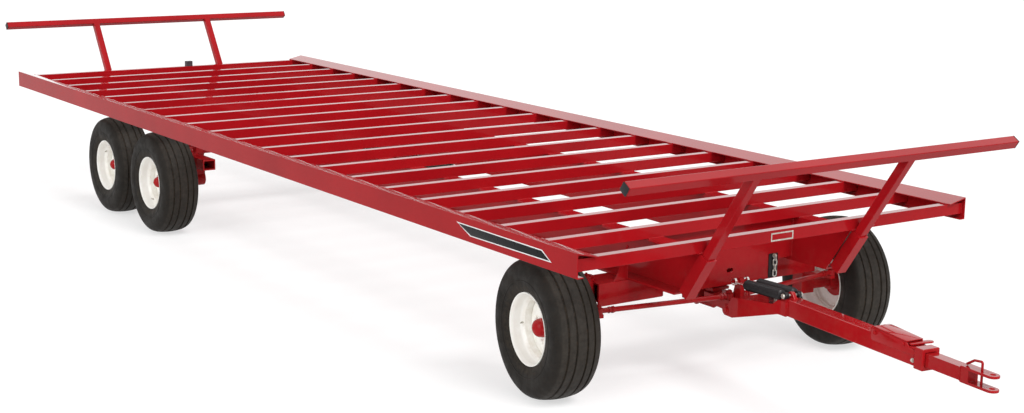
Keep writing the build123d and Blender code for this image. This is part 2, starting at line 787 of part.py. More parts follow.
def hitch_handle():
    """Bent round bar that drops through both plates behind the pin holes."""
    back = TONGUE_END + INNER_REACH
    x = back + CLEVIS_REACH - CLEVIS_WIDTH / 2 - HANDLE_BACK
    top = TONGUE_Z + CLEVIS_GAP / 2 + CLEVIS_PLATE
    low = TONGUE_Z - CLEVIS_GAP / 2 - CLEVIS_PLATE
    route = FilletPolyline(
        (x, 0, low - 8), (x, 0, top + 40), (x - 50, 0, top + 34), (x - 96, 0, top + 6), radius=9
    )
    section = Plane(origin=(x, 0, low - 8), z_dir=(0, 0, 1)) * Circle(HANDLE_RADIUS)
    return sweep(section, path=route)


# The rear tandem

def rear_axle():
    """Tube under the long beams with a leg and a trunnion shaft at each side."""
    axle = axle_tube(TANDEM_X, TRUNNION_LEG_Y - TRUNNION_LEG_WIDTH / 2 + 5)
    leg_inner = TRUNNION_LEG_Y - TRUNNION_LEG_WIDTH / 2
    leg_outer = TRUNNION_LEG_Y + TRUNNION_LEG_WIDTH / 2
    half = AXLE_TUBE_WIDTH / 2
    low = TRUNNION_Z - TRUNNION_RADIUS - 30
    leg = plate_xz(
        [
            (TANDEM_X - half, BEAM_BOTTOM),
            (TANDEM_X - half, TRUNNION_Z),
            (TANDEM_X - 48, low),
            (TANDEM_X + 48, low),
            (TANDEM_X + half, TRUNNION_Z),
            (TANDEM_X + half, BEAM_BOTTOM),
        ],
        leg_inner,
        leg_outer,
    )
    tip = WALKING_BEAM_Y + WALKING_BEAM_WIDTH / 2 + 14
    side = leg + cross_bar(TANDEM_X, TRUNNION_Z, leg_inner, tip, TRUNNION_RADIUS)
    return axle + side + mirrored(side)


def walking_beam():
    """Tube that rocks on the left trunnion, with a spindle boss under each end."""
    reach = TANDEM_SPACING / 2 + WALKING_BEAM_OVERHANG
    inner = WALKING_BEAM_Y - WALKING_BEAM_WIDTH / 2
    outer = WALKING_BEAM_Y + WALKING_BEAM_WIDTH / 2
    half = WALKING_BEAM_DEPTH / 2
    z = -AXLE_DROP
    beam = block(
        TANDEM_X - reach,
        TANDEM_X + reach,
        inner,
        outer,
        TRUNNION_Z - half,
        TRUNNION_Z + half,
    )
    beam -= block(
        TANDEM_X - reach - 1,
        TANDEM_X + reach + 1,
        inner + WALKING_BEAM_WALL,
        outer - WALKING_BEAM_WALL,
        TRUNNION_Z - half + WALKING_BEAM_WALL,
        TRUNNION_Z + half - WALKING_BEAM_WALL,
    )
    beam += cross_bar(TANDEM_X, TRUNNION_Z, inner - 20, outer + 6, TRUNNION_RADIUS + 16)
    beam -= cross_bar(TANDEM_X, TRUNNION_Z, inner - 21, outer + 7, TRUNNION_RADIUS + PIN_FIT)
    for x in (TANDEM_X - TANDEM_SPACING / 2, TANDEM_X + TANDEM_SPACING / 2):
        beam += block(x - 40, x + 40, inner + 15, outer, z, TRUNNION_Z - half)
        beam += cross_bar(x, z, inner + 15, outer, SPINDLE_RADIUS + 29)
        beam += spindle(x, z, outer - 10, REAR_WHEEL_Y)
    return beam


def rear_lamp():
    """Small lamp housing on the rear member."""
    x = cross_places()[-1]
    return block(x - 20, x + 20, 165, 225, CROSS_TOP, CROSS_TOP + 45)


# Every node is a list of solids

NODES = {}


def add(name, shapes, pivot=None):
    """Stores a node, turned about its upright pivot where the steering moves it."""
    solids = shapes if isinstance(shapes, list) else [shapes]
    if pivot:
        solids = [s.rotate(Axis((pivot[0], pivot[1], 0), (0, 0, 1)), STEER_AT_REST) for s in solids]
    NODES[name] = solids


front_rack = rack()
sockets = both(rack_socket())
add("crossmembers", crossmembers())
add("main_beams", main_beams())
add("front_rack", front_rack)
add("rear_rack", flip_ends(front_rack))
add("rack_sockets", sockets + [flip_ends(socket) for socket in sockets])
add("front_axle_beam", front_axle())
add("front_bolster", front_bolster())
add("pivot_bracket", pivot_bracket())
add("rear_axle", rear_axle())
add("rear_lamp", rear_lamp())
for side_name, side in SIDES.items():
    def sided(shape):
        """Drawn on the left, and mirrored for the right."""
        return shape if side > 0 else mirrored(shape)

    kingpin = (AXLE_X, side * KINGPIN_Y)
    add("side_rail_" + side_name, sided(side_rail()))
    add("walking_beam_" + side_name, sided(walking_beam()))
    add("knuckle_" + side_name, sided(knuckle()), kingpin)
    add("tie_rod_" + side_name, tie_rod(side))
    for row, x, y, pivot in (
        ("front", AXLE_X, FRONT_WHEEL_Y, kingpin),
        ("middle", TANDEM_X + TANDEM_SPACING / 2, REAR_WHEEL_Y, None),
        ("rear", TANDEM_X - TANDEM_SPACING / 2, REAR_WHEEL_Y, None),
    ):
        for piece, shape in wheel_set(x, side * y, side).items():
            add(row + "_" + piece + "_" + side_name, shape, pivot)
for name, shape in (
    ("steering_head", steering_head()),
    ("tongue_yoke", tongue_yoke()),
    ("tongue_tube", tongue_tube()),
    ("latch", latch()),
    ("lift_springs", lift_springs()),
    ("lift_rods", lift_rods()),
    ("inner_tube", inner_tube()),
    ("hitch_clevis", hitch_clevis()),
    ("hitch_handle", hitch_handle()),
):
    add(name, shape, (HEAD_X, 0))

# The wagon moves so that its origin is under the middle of its overall length
boxes = [solid.bounding_box() for solids in NODES.values() for solid in solids]
X_MIDDLE = (min(box.min.X for box in boxes) + max(box.max.X for box in boxes)) / 2
GROUND = -AXLE_DROP - TYRE_RADIUS
SHIFT = Location((-X_MIDDLE, 0, -GROUND))

os.makedirs("parts", exist_ok=True)
for name, shapes in NODES.items():
    solids = [solid for shape in shapes for solid in shape.moved(SHIFT).solids()]
    node = solids[0] if len(solids) == 1 else Compound(children=solids)
    export_step(node, "parts/" + name + ".step")
print("nodes", len(NODES), "middle", round(X_MIDDLE, 3), "deck top", -GROUND)
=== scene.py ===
# %% [markdown]
# # Bale wagon
# The steel model of a farm bale wagon is loaded first and stays as it is. This lesson then gives every
# part of it a finish, swaps its plain wheels for detailed ones, and adds the small things that the steel
# model leaves out, such as bolts, welds, plates and a chain.

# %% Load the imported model
import json
import math

import bmesh
import bpy
from mathutils import Matrix, Vector


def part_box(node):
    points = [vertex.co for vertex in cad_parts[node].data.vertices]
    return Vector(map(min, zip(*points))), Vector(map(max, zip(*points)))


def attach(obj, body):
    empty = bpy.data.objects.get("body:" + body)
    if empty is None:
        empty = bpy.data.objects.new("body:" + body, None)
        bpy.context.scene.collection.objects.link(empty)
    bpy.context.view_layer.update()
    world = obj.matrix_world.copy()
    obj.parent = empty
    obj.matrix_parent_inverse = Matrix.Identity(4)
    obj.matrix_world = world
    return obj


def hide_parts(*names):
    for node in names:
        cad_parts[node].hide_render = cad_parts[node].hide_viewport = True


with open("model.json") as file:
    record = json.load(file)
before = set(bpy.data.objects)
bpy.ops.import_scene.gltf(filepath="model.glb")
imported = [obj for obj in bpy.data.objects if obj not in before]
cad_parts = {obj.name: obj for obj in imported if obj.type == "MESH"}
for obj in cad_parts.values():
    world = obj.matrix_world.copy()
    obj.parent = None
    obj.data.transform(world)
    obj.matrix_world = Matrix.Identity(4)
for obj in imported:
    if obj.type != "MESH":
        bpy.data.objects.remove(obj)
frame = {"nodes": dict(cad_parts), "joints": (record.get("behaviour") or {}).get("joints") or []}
cad_nodes = frame["nodes"]
joints = {joint["name"]: joint for joint in frame["joints"]}
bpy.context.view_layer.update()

# %% [markdown]
# The camera stands where the photographer stood: ahead of the wagon on its right, with the eye a little
# under three metres up. It could be aimed with a constraint, but a matrix built from the heading, the
# pitch and the roll keeps it exact. The lens is long, so the far end hardly shrinks.

# %% Camera
HEADING, PITCH, ROLL = math.radians(145.515), math.radians(-11.219), math.radians(0.801)
EYE = (9.6624, -6.0432, 2.7655)

ahead = Vector((math.cos(PITCH) * math.cos(HEADING), math.cos(PITCH) * math.sin(HEADING), math.sin(PITCH)))
level_right = ahead.cross(Vector((0, 0, 1))).normalized()
level_up = level_right.cross(ahead)
camera_right = level_right * math.cos(ROLL) + level_up * math.sin(ROLL)
camera_up = level_up * math.cos(ROLL) - level_right * math.sin(ROLL)

camera_data = bpy.data.cameras.new("photo_camera")
camera_data.sensor_fit = "HORIZONTAL"
camera_data.sensor_width = 36
camera_data.lens = 58.87
camera_data.shift_x = 0.003
camera_data.shift_y = -0.0077
camera_data.clip_end = 300
camera = bpy.data.objects.new("photo_camera", camera_data)
bpy.context.scene.collection.objects.link(camera)
turn = Matrix((camera_right, camera_up, -ahead)).transposed().to_4x4()
camera.matrix_world = Matrix.Translation(EYE) @ turn
bpy.context.scene.camera = camera
print("camera at", tuple(camera.location))

# %% [markdown]
# The studio is a wide pale floor under an even white sky, with one soft lamp high in front of the wagon
# and a weaker one low beside it. A row of area lamps would light the long deck unevenly, so both are
# suns with a wide disc. Seen by the camera, floor and sky come out white, and the floor keeps the shadow.

# %% Sky, floor and lamps
scene = bpy.context.scene
scene.view_settings.view_transform = "Standard"


def add_node(tree, kind, values={}, links={}):
    """A new node with some of its sockets set to values or linked to outputs."""
    made = tree.nodes.new(kind)
    for socket, value in values.items():
        made.inputs[socket].default_value = value
    for socket, output in links.items():
        tree.links.new(output, made.inputs[socket])
    return made


def grey_shader(tree, kind, level, **values):
    """A shader of one grey level."""
    return add_node(tree, kind, {"Color": (level, level, level, 1), **values}).outputs[0]


def seen_directly(tree):
    """One where a ray comes from the camera, a mirror or glass, and nought where it only lights."""
    path = tree.nodes.new("ShaderNodeLightPath").outputs
    seen = path["Is Camera Ray"]
    for kind in ("Is Glossy Ray", "Is Transmission Ray"):
        either = add_node(tree, "ShaderNodeMath", links={0: seen, 1: path[kind]})
        either.operation = "MAXIMUM"
        seen = either.outputs[0]
    return seen


def by_ray(tree, lighting, seen, out_kind):
    """Gives a tree one shader for rays that only light, and another for rays that see it directly."""
    mix = add_node(tree, "ShaderNodeMixShader", links={0: seen_directly(tree), 1: lighting, 2: seen})
    add_node(tree, out_kind, links={0: mix.outputs[0]})


sky = bpy.data.worlds.new("studio_sky")
scene.world = sky
sky.use_nodes = True
sky_tree = sky.node_tree
sky_tree.nodes.clear()
soft_sky = grey_shader(sky_tree, "ShaderNodeBackground", 1, Strength=0.5)
white_sky = grey_shader(sky_tree, "ShaderNodeBackground", 1, Strength=1)
by_ray(sky_tree, soft_sky, white_sky, "ShaderNodeOutputWorld")

floor_paint = bpy.data.materials.new("studio_floor")
floor_paint.use_nodes = True
floor_tree = floor_paint.node_tree
floor_tree.nodes.clear()
matt_floor = grey_shader(floor_tree, "ShaderNodeBsdfDiffuse", 0.8)
pale_floor = grey_shader(floor_tree, "ShaderNodeBsdfDiffuse", 0.42)
floor_glow = grey_shader(floor_tree, "ShaderNodeEmission", 1, Strength=0.62)
seen_floor = add_node(floor_tree, "ShaderNodeAddShader", links={0: pale_floor, 1: floor_glow})
by_ray(floor_tree, matt_floor, seen_floor.outputs[0], "ShaderNodeOutputMaterial")

floor_mesh = bpy.data.meshes.new("studio_floor")
floor_shape = bmesh.new()
bmesh.ops.create_grid(floor_shape, x_segments=1, y_segments=1, size=200)
floor_shape.to_mesh(floor_mesh)
floor_shape.free()
floor_mesh.materials.append(floor_paint)
floor = bpy.data.objects.new("studio_floor", floor_mesh)
scene.collection.objects.link(floor)

for name, energy, spread, direction in (
    ("soft_sun", 2.4, 25, (0.7, 0.05, 0.72)), ("side_sun", 1.45, 40, (0.25, -0.85, 0.42)),
):
    sun_data = bpy.data.lights.new(name, "SUN")
    sun_data.energy = energy
    sun_data.angle = math.radians(spread)
    sun = bpy.data.objects.new(name, sun_data)
    scene.collection.objects.link(sun)
    sun.matrix_world = Vector(direction).to_track_quat("Z", "Y").to_matrix().to_4x4()
    print(name, "shines from", direction)

# %% [markdown]
# Every finish below is procedural. These helpers wire up the few nodes that all of them share: a noise
# on object coordinates, a ramp that turns it into a value or a colour, and a bump. Small functions keep
# each finish down to a few lines that say what it looks like.

# %% Helpers for finishes


class Finish:
    """A material with one shader, and shorthand for the nodes that feed it."""

    def __init__(self, name, constants):
        self.material = bpy.data.materials.new(name)
        self.material.use_nodes = True
        self.tree = self.material.node_tree
        self.shader = self.tree.nodes["Principled BSDF"]
        coordinates = self.node("ShaderNodeTexCoord")
        self.place, self.normal = coordinates.outputs["Object"], coordinates.outputs["Normal"]
        for socket, value in constants.items():
            self.shader.inputs[socket].default_value = value

    def node(self, kind, values={}, links={}):
        return add_node(self.tree, kind, values, links)

    def link(self, start, end):
        self.tree.links.new(start, end)

    def noise(self, scale, detail=3.0, roughness=0.55, place=None):
        """Noise of that many waves a metre."""
        values = {"Scale": scale, "Detail": detail, "Roughness": roughness}
        return self.node("ShaderNodeTexNoise", values, {"Vector": place or self.place}).outputs["Fac"]

    def stretched(self, x, y, z):
        """Object coordinates scaled along each axis, for streaks."""
        return self.node("ShaderNodeMapping", {"Scale": (x, y, z)}, {"Vector": self.place}).outputs["Vector"]

    def span(self, value, low, high, to_low, to_high):
        """Maps a value from one span to another, and stays within it."""
        values = {"From Min": low, "From Max": high, "To Min": to_low, "To Max": to_high}
        return self.node("ShaderNodeMapRange", values, {"Value": value}).outputs["Result"]

    def times(self, first, second):
        made = self.node("ShaderNodeMath", links={0: first, 1: second})
        made.operation = "MULTIPLY"
        return made.outputs[0]

    def blend(self, factor, first, second):
        """Mixes two colours; each is a tuple or another node's output."""
        made = self.node("ShaderNodeMix")
        made.data_type = "RGBA"
        self.link(factor, made.inputs["Factor"])
        for socket, colour in ((made.inputs[6], first), (made.inputs[7], second)):
            if isinstance(colour, tuple):
                socket.default_value = (*colour, 1)
            else:
                self.link(colour, socket)
        return made.outputs[2]

    def upright(self, vector):
        """The Z of a place, its height in metres, or of a normal, one where a face looks straight up."""
        return self.node("ShaderNodeSeparateXYZ", links={0: vector}).outputs["Z"]

    def own(self, name):
        """A value that the piece's mesh holds at each point."""
        made = self.node("ShaderNodeAttribute")
        made.attribute_name = name
        return made.outputs["Fac"]

    def bump(self, value, strength, distance):
        made = self.node("ShaderNodeBump", {"Strength": strength, "Distance": distance}, {"Height": value})
        self.link(made.outputs["Normal"], self.shader.inputs["Normal"])

    def colour(self, output):
        self.link(output, self.shader.inputs["Base Color"])

    def rough(self, output):
        self.link(output, self.shader.inputs["Roughness"])

    def patches(self, first, second, scale, detail=4, low=0.35, high=0.7, most=1):
        """Two colours in soft patches of noise."""
        return self.blend(self.span(self.noise(scale, detail), low, high, 0, most), first, second)

    def gloss(self, scale, smooth, dull, detail=4):
        """Roughness that wanders between two values."""
        self.rough(self.span(self.noise(scale, detail), 0.3, 0.7, smooth, dull))


def plain_finish(name, constants, colours, patch, gloss, grain):
    """A finish with patches of two colours, a wandering gloss and a fine grain."""
    finish = Finish(name, constants)
    finish.colour(finish.patches(*colours, patch, 5))
    finish.gloss(*gloss)
    scale, detail, strength, distance = grain
    finish.bump(finish.noise(scale, detail), strength, distance)
    return finish.material


# %% [markdown]
# The steelwork is sprayed with one gloss red. Real paint like this is never one flat colour: it is a
# little deeper where it ran thick, it has a faint orange peel, and road dust settles on what hangs low.
# Noise at three sizes gives these. The paint flows level and glossy on upper faces, which mirror the
# bright sky at flat angles, and it is duller on upright ones, so the gloss follows how far a face looks up.

# %% Red paint


def red_paint(name, bright, deep, dust=0.25):
    """Gloss red that varies a little, with dust low down."""
    finish = Finish(name, {"Specular IOR Level": 0.06, "Coat Roughness": 0.05})
    coat = finish.patches(bright, deep, 1.7, low=0.3)
    mottled = finish.patches(coat, deep, 38, low=0.45, high=0.75, most=0.35)
    near_road = finish.span(finish.upright(finish.place), 0.25, 0.8, dust, 0)
    speckle = finish.span(finish.noise(26, 6, 0.7), 0.4, 0.75, 0, 1)
    finish.colour(finish.blend(finish.times(near_road, speckle), mottled, (0.22, 0.11, 0.07)))
    finish.gloss(14, 0.12, 0.24, 5)
    finish.bump(finish.noise(420, 2), 0.025, 0.0004)
    coat_weight = finish.span(finish.upright(finish.normal), 0.5, 0.95, 0.08, 1.0)
    finish.link(coat_weight, finish.shader.inputs["Coat Weight"])
    return finish.material


FRAME_RED = red_paint("frame_red_gloss", (0.365, 0.007, 0.0105), (0.285, 0.005, 0.008))
# The tongue's copy of the frame red is made lighter than the frame's: painted light, not a different paint.
TONGUE_RED_PAINTED_LIGHT = red_paint("tongue_red_painted_light", (0.4, 0.008, 0.0115), (0.31, 0.0055, 0.0085), dust=0.2)
# The tie rods' copy of the frame red is made darker than the frame's: painted shade, not a different paint.
ROD_RED_PAINTED_SHADE = red_paint("tie_rod_red_painted_shade", (0.34, 0.008, 0.011), (0.25, 0.005, 0.008), dust=0.25)
HUB_RED = red_paint("hub_red_gloss", (0.4, 0.01, 0.013), (0.3, 0.007, 0.009), dust=0.12)
print("red finishes ready")

# %% [markdown]
# The wheels and fittings carry five more finishes. The rims are a warm off-white with dust in the dish.
# The tyres are black rubber gone slightly brown, paler on the ribs where the road scuffs them and where a
# painted sheen stands for the tread's reflection: the mesh of a tyre holds how deep each point lies, so the
# scuffing and the sheen follow the ribs round. Bare steel has fine lines.

# %% Rim, rubber, black paint, bright steel and zinc
rim = Finish("rim_cream_gloss", {"Specular IOR Level": 0.4, "Coat Weight": 0.2, "Coat Roughness": 0.12})
rim_base = rim.patches((0.95, 0.95, 0.92), (0.89, 0.88, 0.83), 9)
rim_grime = rim.times(rim.own("grime"), rim.span(rim.noise(24, 6, 0.7), 0.35, 0.8, 0.1, 1))
rim.colour(rim.blend(rim_grime, rim_base, (0.5, 0.42, 0.3)))
rim.gloss(30, 0.28, 0.5)
rim.bump(rim.noise(500, 2), 0.08, 0.0006)
RIM_CREAM = rim.material

rubber = Finish("tyre_rubber", {"Specular IOR Level": 0.16})
rubber_base = rubber.patches((0.006, 0.005, 0.0042), (0.011, 0.0088, 0.007), 5, 5, low=0.3)
# Paler on the ribs: partly scuffing, partly a painted sheen that stands for the tread's reflection.
painted_sheen_and_scuff = rubber.times(rubber.own("scuff_and_sheen"), rubber.span(rubber.noise(34, 6, 0.7), 0.3, 0.75, 0.25, 1))
rubber_worn_and_sheen = rubber.blend(painted_sheen_and_scuff, rubber_base, (0.036, 0.031, 0.026))
rubber_grime = rubber.times(rubber.own("grime"), rubber.span(rubber.noise(60, 5), 0.35, 0.7, 0, 0.8))
rubber.colour(rubber.blend(rubber_grime, rubber_worn_and_sheen, (0.06, 0.042, 0.025)))
rubber.gloss(18, 0.52, 0.75, 5)
rubber.bump(rubber.noise(260, 6, 0.65), 0.25, 0.0012)
TYRE_RUBBER = rubber.material

SATIN_BLACK = plain_finish(
    "black_satin_paint", {"Specular IOR Level": 0.25}, ((0.006, 0.0055, 0.0065), (0.013, 0.0115, 0.0125)),
    patch=30, gloss=(60, 0.3, 0.5), grain=(400, 3, 0.15, 0.0006),
)
ZINC = plain_finish(
    "zinc_plate", {"Metallic": 1.0}, ((0.62, 0.61, 0.57), (0.42, 0.4, 0.34)),
    patch=90, gloss=(140, 0.28, 0.5), grain=(500, 3, 0.1, 0.0004),
)

steel = Finish("bright_drawn_steel", {"Metallic": 1.0})
steel_lines = steel.noise(1, 5, 0.6, steel.stretched(60, 900, 900))
steel.colour(steel.patches((0.78, 0.78, 0.76), (0.48, 0.44, 0.38), 50, 5, 0.45, 0.8, 0.6))
steel.rough(steel.span(steel_lines, 0.3, 0.7, 0.16, 0.36))
steel.bump(steel_lines, 0.1, 0.0003)
BRIGHT_STEEL = steel.material
print("wheel and steel finishes ready")

# %% [markdown]
# The steel model's own parts keep their shape and take these finishes on their material slots. Steel
# tube and rolled section have round corners that catch the light, so the faces of the larger members are
# joined and a bevel modifier rounds their edges by a few millimetres, which keeps the drawn model light.

# %% Finish the steel model
TONGUE_NODES = (
    "steering_head", "tongue_yoke", "tongue_tube", "latch", "inner_tube", "hitch_clevis", "hitch_handle",
)
for node_name, node in cad_nodes.items():
    # The tie rods take the darker copy of the red, which is painted shade.
    if "tie_rod" in node_name:
        finish = ROD_RED_PAINTED_SHADE
    elif node_name == "lift_rods":
        finish = BRIGHT_STEEL
    elif node_name == "lift_springs":
        finish = SATIN_BLACK
    # The tongue takes the lighter copy of the red, which is painted light.
    elif node_name in TONGUE_NODES:
        finish = TONGUE_RED_PAINTED_LIGHT
    else:
        finish = FRAME_RED
    for material_slot in node.material_slots:
        material_slot.material = finish

EDGE_ROUND = {
    "tongue_tube": 0.006, "inner_tube": 0.005, "front_rack": 0.005, "rear_rack": 0.005,
    "side_rail_left": 0.002, "side_rail_right": 0.002, "crossmembers": 0.002, "rear_axle": 0.004,
    "walking_beam_left": 0.006, "walking_beam_right": 0.006, "front_axle_beam": 0.003,
    "hitch_clevis": 0.002, "tongue_yoke": 0.002,
}
for node_name, width in EDGE_ROUND.items():
    joined = cad_nodes[node_name].modifiers.new("joined_faces", "WELD")
    joined.merge_threshold = 0.00002
    rounded = cad_nodes[node_name].modifiers.new("rounded_edges", "BEVEL")
    rounded.width = width
    rounded.segments = 2
    rounded.limit_method = "ANGLE"
    rounded.angle_limit = math.radians(40)
    rounded.harden_normals = True
print("finished", len(cad_nodes), "nodes and rounded", len(EDGE_ROUND))

# %% [markdown]
# All new pieces are made as a bmesh and end the same way: moved into place, doubles merged, faces turned
# outwards, edges over a given angle kept sharp, and the object at the origin with its place in its mesh.
# A turned part is a profile of radius and offset, spun all the way round an axis. Each finish has one
# slot, the name under which another user can swap it, so a piece's slot follows from its finish.


def finish_piece(shape, name, material, body, sharp=32, place=Matrix.Identity(4)):
    """Makes a piece of a bmesh and lets it ride on a body of the steel model."""
    bmesh.ops.transform(shape, matrix=place, verts=shape.verts)
    bmesh.ops.remove_doubles(shape, verts=shape.verts, dist=1e-5)
    bmesh.ops.recalc_face_normals(shape, faces=shape.faces)
    mesh = bpy.data.meshes.new(name)
    shape.to_mesh(mesh)
    shape.free()
    mesh.shade_smooth()
    mesh.set_sharp_from_angle(angle=math.radians(sharp))
    mesh.materials.append(material)
    piece = bpy.data.objects.new(name, mesh)
    scene.collection.objects.link(piece)
    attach(piece, body)
    return piece


def add_turned(shape, profile, place, steps=16, closed=False):
    """A turned part in an open shape: (radius, offset) points, spun about the place's own Z."""
    points = [shape.verts.new(place @ Vector((radius, 0, offset))) for radius, offset in profile]
    pairs = list(zip(points, points[1:])) + ([(points[-1], points[0])] if closed else [])
    edges = [shape.edges.new(pair) for pair in pairs]
    bmesh.ops.spin(
        shape, geom=points + edges, cent=place.translation, axis=place.to_3x3() @ Vector((0, 0, 1)),
        dvec=(0, 0, 0), angle=2 * math.pi, steps=steps, use_merge=True, use_duplicate=False,
    )


def turned(profile, steps):
    """A wheel's part: a closed profile of (radius, offset), spun about Y."""
    shape = bmesh.new()
    add_turned(shape, profile, Matrix.Rotation(math.radians(-90), 4, "X"), steps, closed=True)
    return shape


def rod(radius, low, high):
    """The profile of a plain round rod."""
    return [(0, low), (radius, low), (radius, high), (0, high)]


def extruded(shape, outline, run):
    """Extrudes a flat outline by a vector and gives all its points."""
    points = [shape.verts.new(place) for place in outline]
    made = bmesh.ops.extrude_face_region(shape, geom=[shape.faces.new(points)])
    moved = [item for item in made["geom"] if isinstance(item, bmesh.types.BMVert)]
    bmesh.ops.translate(shape, verts=moved, vec=run)
    return points + moved


def round_edges(shape, edges, width, segments=2):
    """Bevels edges into a small round."""
    bmesh.ops.bevel(
        shape, geom=edges, offset=width, offset_type="OFFSET", segments=segments, profile=0.5,
        affect="EDGES", material=-1, clamp_overlap=True,
    )


def add_plate(shape, outline, thickness, bevel=0.0012):
    """A flat outline extruded by a vector, with its edges slightly rounded."""
    points = extruded(shape, outline, thickness)
    round_edges(shape, list({edge for point in points for edge in point.link_edges}), bevel)


def rounded_block(size, width, segments):
    """A block about the origin with rounded edges."""
    block = bmesh.new()
    bmesh.ops.create_cube(block, size=1)
    bmesh.ops.scale(block, vec=size, verts=block.verts)
    round_edges(block, list(block.edges), width, segments)
    return block


def add_weld(shape, start, end, size=0.004, steps=8):
    """A bead with the ripples of a hand weld, laid along a joint."""
    run = Vector(end) - Vector(start)
    ripples = max(2, round(run.length / (size * 1.3)))
    pitch = run.length / ripples
    profile = [(0, 0)]
    for ripple in range(ripples):
        profile += [(size * 0.76, pitch * ripple), (size, pitch * (ripple + 0.55))]
    profile += [(size * 0.76, run.length), (0, run.length)]
    add_turned(shape, profile, facing(start, run), steps)


def join(shape, other, place=Matrix.Identity(4)):
    """Takes another open shape into this one, moved to a place."""
    bmesh.ops.transform(other, matrix=place, verts=other.verts)
    carrier = bpy.data.meshes.new("carrier")
    other.to_mesh(carrier)
    other.free()
    shape.from_mesh(carrier)
    bpy.data.meshes.remove(carrier)


def store(shape, name, value):
    """Holds a value at each point of the mesh for its finish to read."""
    layer = shape.verts.layers.float.new(name)
    for point in shape.verts:
        point[layer] = value(point.co)


def facing(point, direction):
    """A place whose own Z points along a direction."""
    turn = Vector(direction).normalized().to_track_quat("Z", "Y").to_matrix().to_4x4()
    return Matrix.Translation(point) @ turn


def add_cone(shape, place, low, high, bottom, top, segments=6):
    """A prism, a bar or a cone along the place's own Z, from one offset to another."""
    bmesh.ops.create_cone(
        shape, cap_ends=True, segments=segments, radius1=bottom, radius2=top, depth=high - low,
        matrix=place @ Matrix.Translation((0, 0, (low + high) / 2)),
    )


def add_bolt(shape, place, across, height):
    """A washer and a hexagon head with its top corners turned off."""
    washer, shoulder = height * 0.22, height * 0.82
    corner = across / math.sqrt(3)
    add_cone(shape, place, 0, washer, across * 0.72, across * 0.72, 24)
    add_cone(shape, place, washer, shoulder, corner, corner)
    add_cone(shape, place, shoulder, height, corner, corner * 0.84)


# %% [markdown]
# A tyre like this has a wide, very round carcass, five plain ribs round the tread and narrow grooves
# between them. It could be a torus with a texture, but the grooves show at the edge of the picture, so
# the whole section is drawn as a profile and spun. One raised line runs round each sidewall.

# %% Tyre section
TYRE_RADIUS = 0.383
GROOVE_DEPTH = 0.0085
SIDEWALL = [
    (0.1905, 0.111), (0.1985, 0.1125), (0.2, 0.118), (0.208, 0.1225), (0.229, 0.129),
    (0.252, 0.134), (0.256, 0.1346), (0.2578, 0.1366), (0.261, 0.137), (0.2635, 0.1358),
    (0.283, 0.1391), (0.303, 0.1388), (0.323, 0.1358), (0.339, 0.1308), (0.352, 0.1238),
    (0.3615, 0.115), (0.3675, 0.105),
]
GROOVES = [(0.082, 0.07), (0.037, 0.025)]


def crown(offset):
    """The tread's radius, which falls a little towards the shoulders."""
    return TYRE_RADIUS - 1.15 * offset * offset


tyre_half = list(SIDEWALL)
for outer_edge, inner_edge in GROOVES:
    tyre_half += [
        (crown(outer_edge + 0.0012), outer_edge + 0.0012),
        (crown(outer_edge) - 0.0012, outer_edge),
        (crown(outer_edge) - GROOVE_DEPTH, outer_edge - 0.0022),
        (crown(inner_edge) - GROOVE_DEPTH, inner_edge + 0.0022),
        (crown(inner_edge) - 0.0012, inner_edge),
        (crown(inner_edge - 0.0012), inner_edge - 0.0012),
    ]
tyre_half.append((crown(0.008), 0.008))
tyre_section = tyre_half + [(radius, -offset) for radius, offset in reversed(tyre_half)]
print("tyre section points", len(tyre_section))


def tyre_depth(co):
    """How far a point of the tread lies under the crown."""
    return crown(abs(co.y)) - math.hypot(co.x, co.z)


def tyre_scuff_and_sheen(co):
    """Scuffing and a painted sheen: one on the ribs, falling to nothing down the shoulder and in the
    grooves.
    """
    if abs(co.y) > 0.108:
        return max(0.0, 0.35 - (abs(co.y) - 0.108) * 14)
    return 1.0 if tyre_depth(co) < 0.003 else 0.15


def tyre_grime(co):
    """Dust that stays in the grooves and beside the bead."""
    radius = math.hypot(co.x, co.z)
    if radius < 0.23:
        return 0.45
    return 0.8 if abs(co.y) < 0.09 and tyre_depth(co) > 0.005 else 0.12


# %% [markdown]
# The rim is one rolled barrel: a curled lip, the ledge that the tyre sits on, a slope with the valve,
# and a narrower well. A dished disc is welded inside the well. Both are profiles of about five
# millimetres of steel, spun into one mesh.

# %% Rim section
BARREL_INSIDE = [
    (0.1972, 0.117), (0.1965, 0.1196), (0.1945, 0.1204), (0.1918, 0.1192), (0.189, 0.115),
    (0.1868, 0.109), (0.1845, 0.104), (0.1832, 0.096), (0.1825, 0.066), (0.1795, 0.058),
    (0.17, 0.048), (0.1655, 0.042), (0.165, 0.033),
]
BARREL_BACK = [
    (0.1695, 0.033), (0.17, 0.04), (0.174, 0.046), (0.1832, 0.0555), (0.187, 0.064),
    (0.1878, 0.098), (0.189, 0.107), (0.1915, 0.1118), (0.1975, 0.1122),
]
barrel_section = (
    BARREL_INSIDE + [(radius, -offset) for radius, offset in reversed(BARREL_INSIDE)]
    + [(radius, -offset) for radius, offset in reversed(BARREL_BACK)] + BARREL_BACK
)
DISC_EYE = 0.0525
disc_section = [
    (0.1652, -0.026), (0.165, -0.006), (0.162, 0.002), (0.156, 0.0062), (0.144, 0.0066),
    (0.129, 0.009), (0.113, 0.018), (0.101, 0.0222), (0.09, 0.023), (DISC_EYE, 0.023),
    (DISC_EYE, 0.015), (0.09, 0.015), (0.099, 0.014), (0.11, 0.01), (0.126, 0.001),
    (0.143, -0.0014), (0.153, -0.003), (0.158, -0.009), (0.159, -0.026),
]


def rim_grime_at(co):
    """Dust towards the bottom of the dish and in the corner of the well."""
    radius = math.hypot(co.x, co.z)
    return 0.5 if 0.14 < radius < 0.175 else 0.14


# %% [markdown]
# The hub is cast iron: a flange behind the disc, a barrel through its eye and a domed cap with a small
# plug. Six short bolts hold the disc. The dome is a quarter of an ellipse in the profile, which is what a
# turned cap looks like, and the bolts are placed by turning one place round the axis.

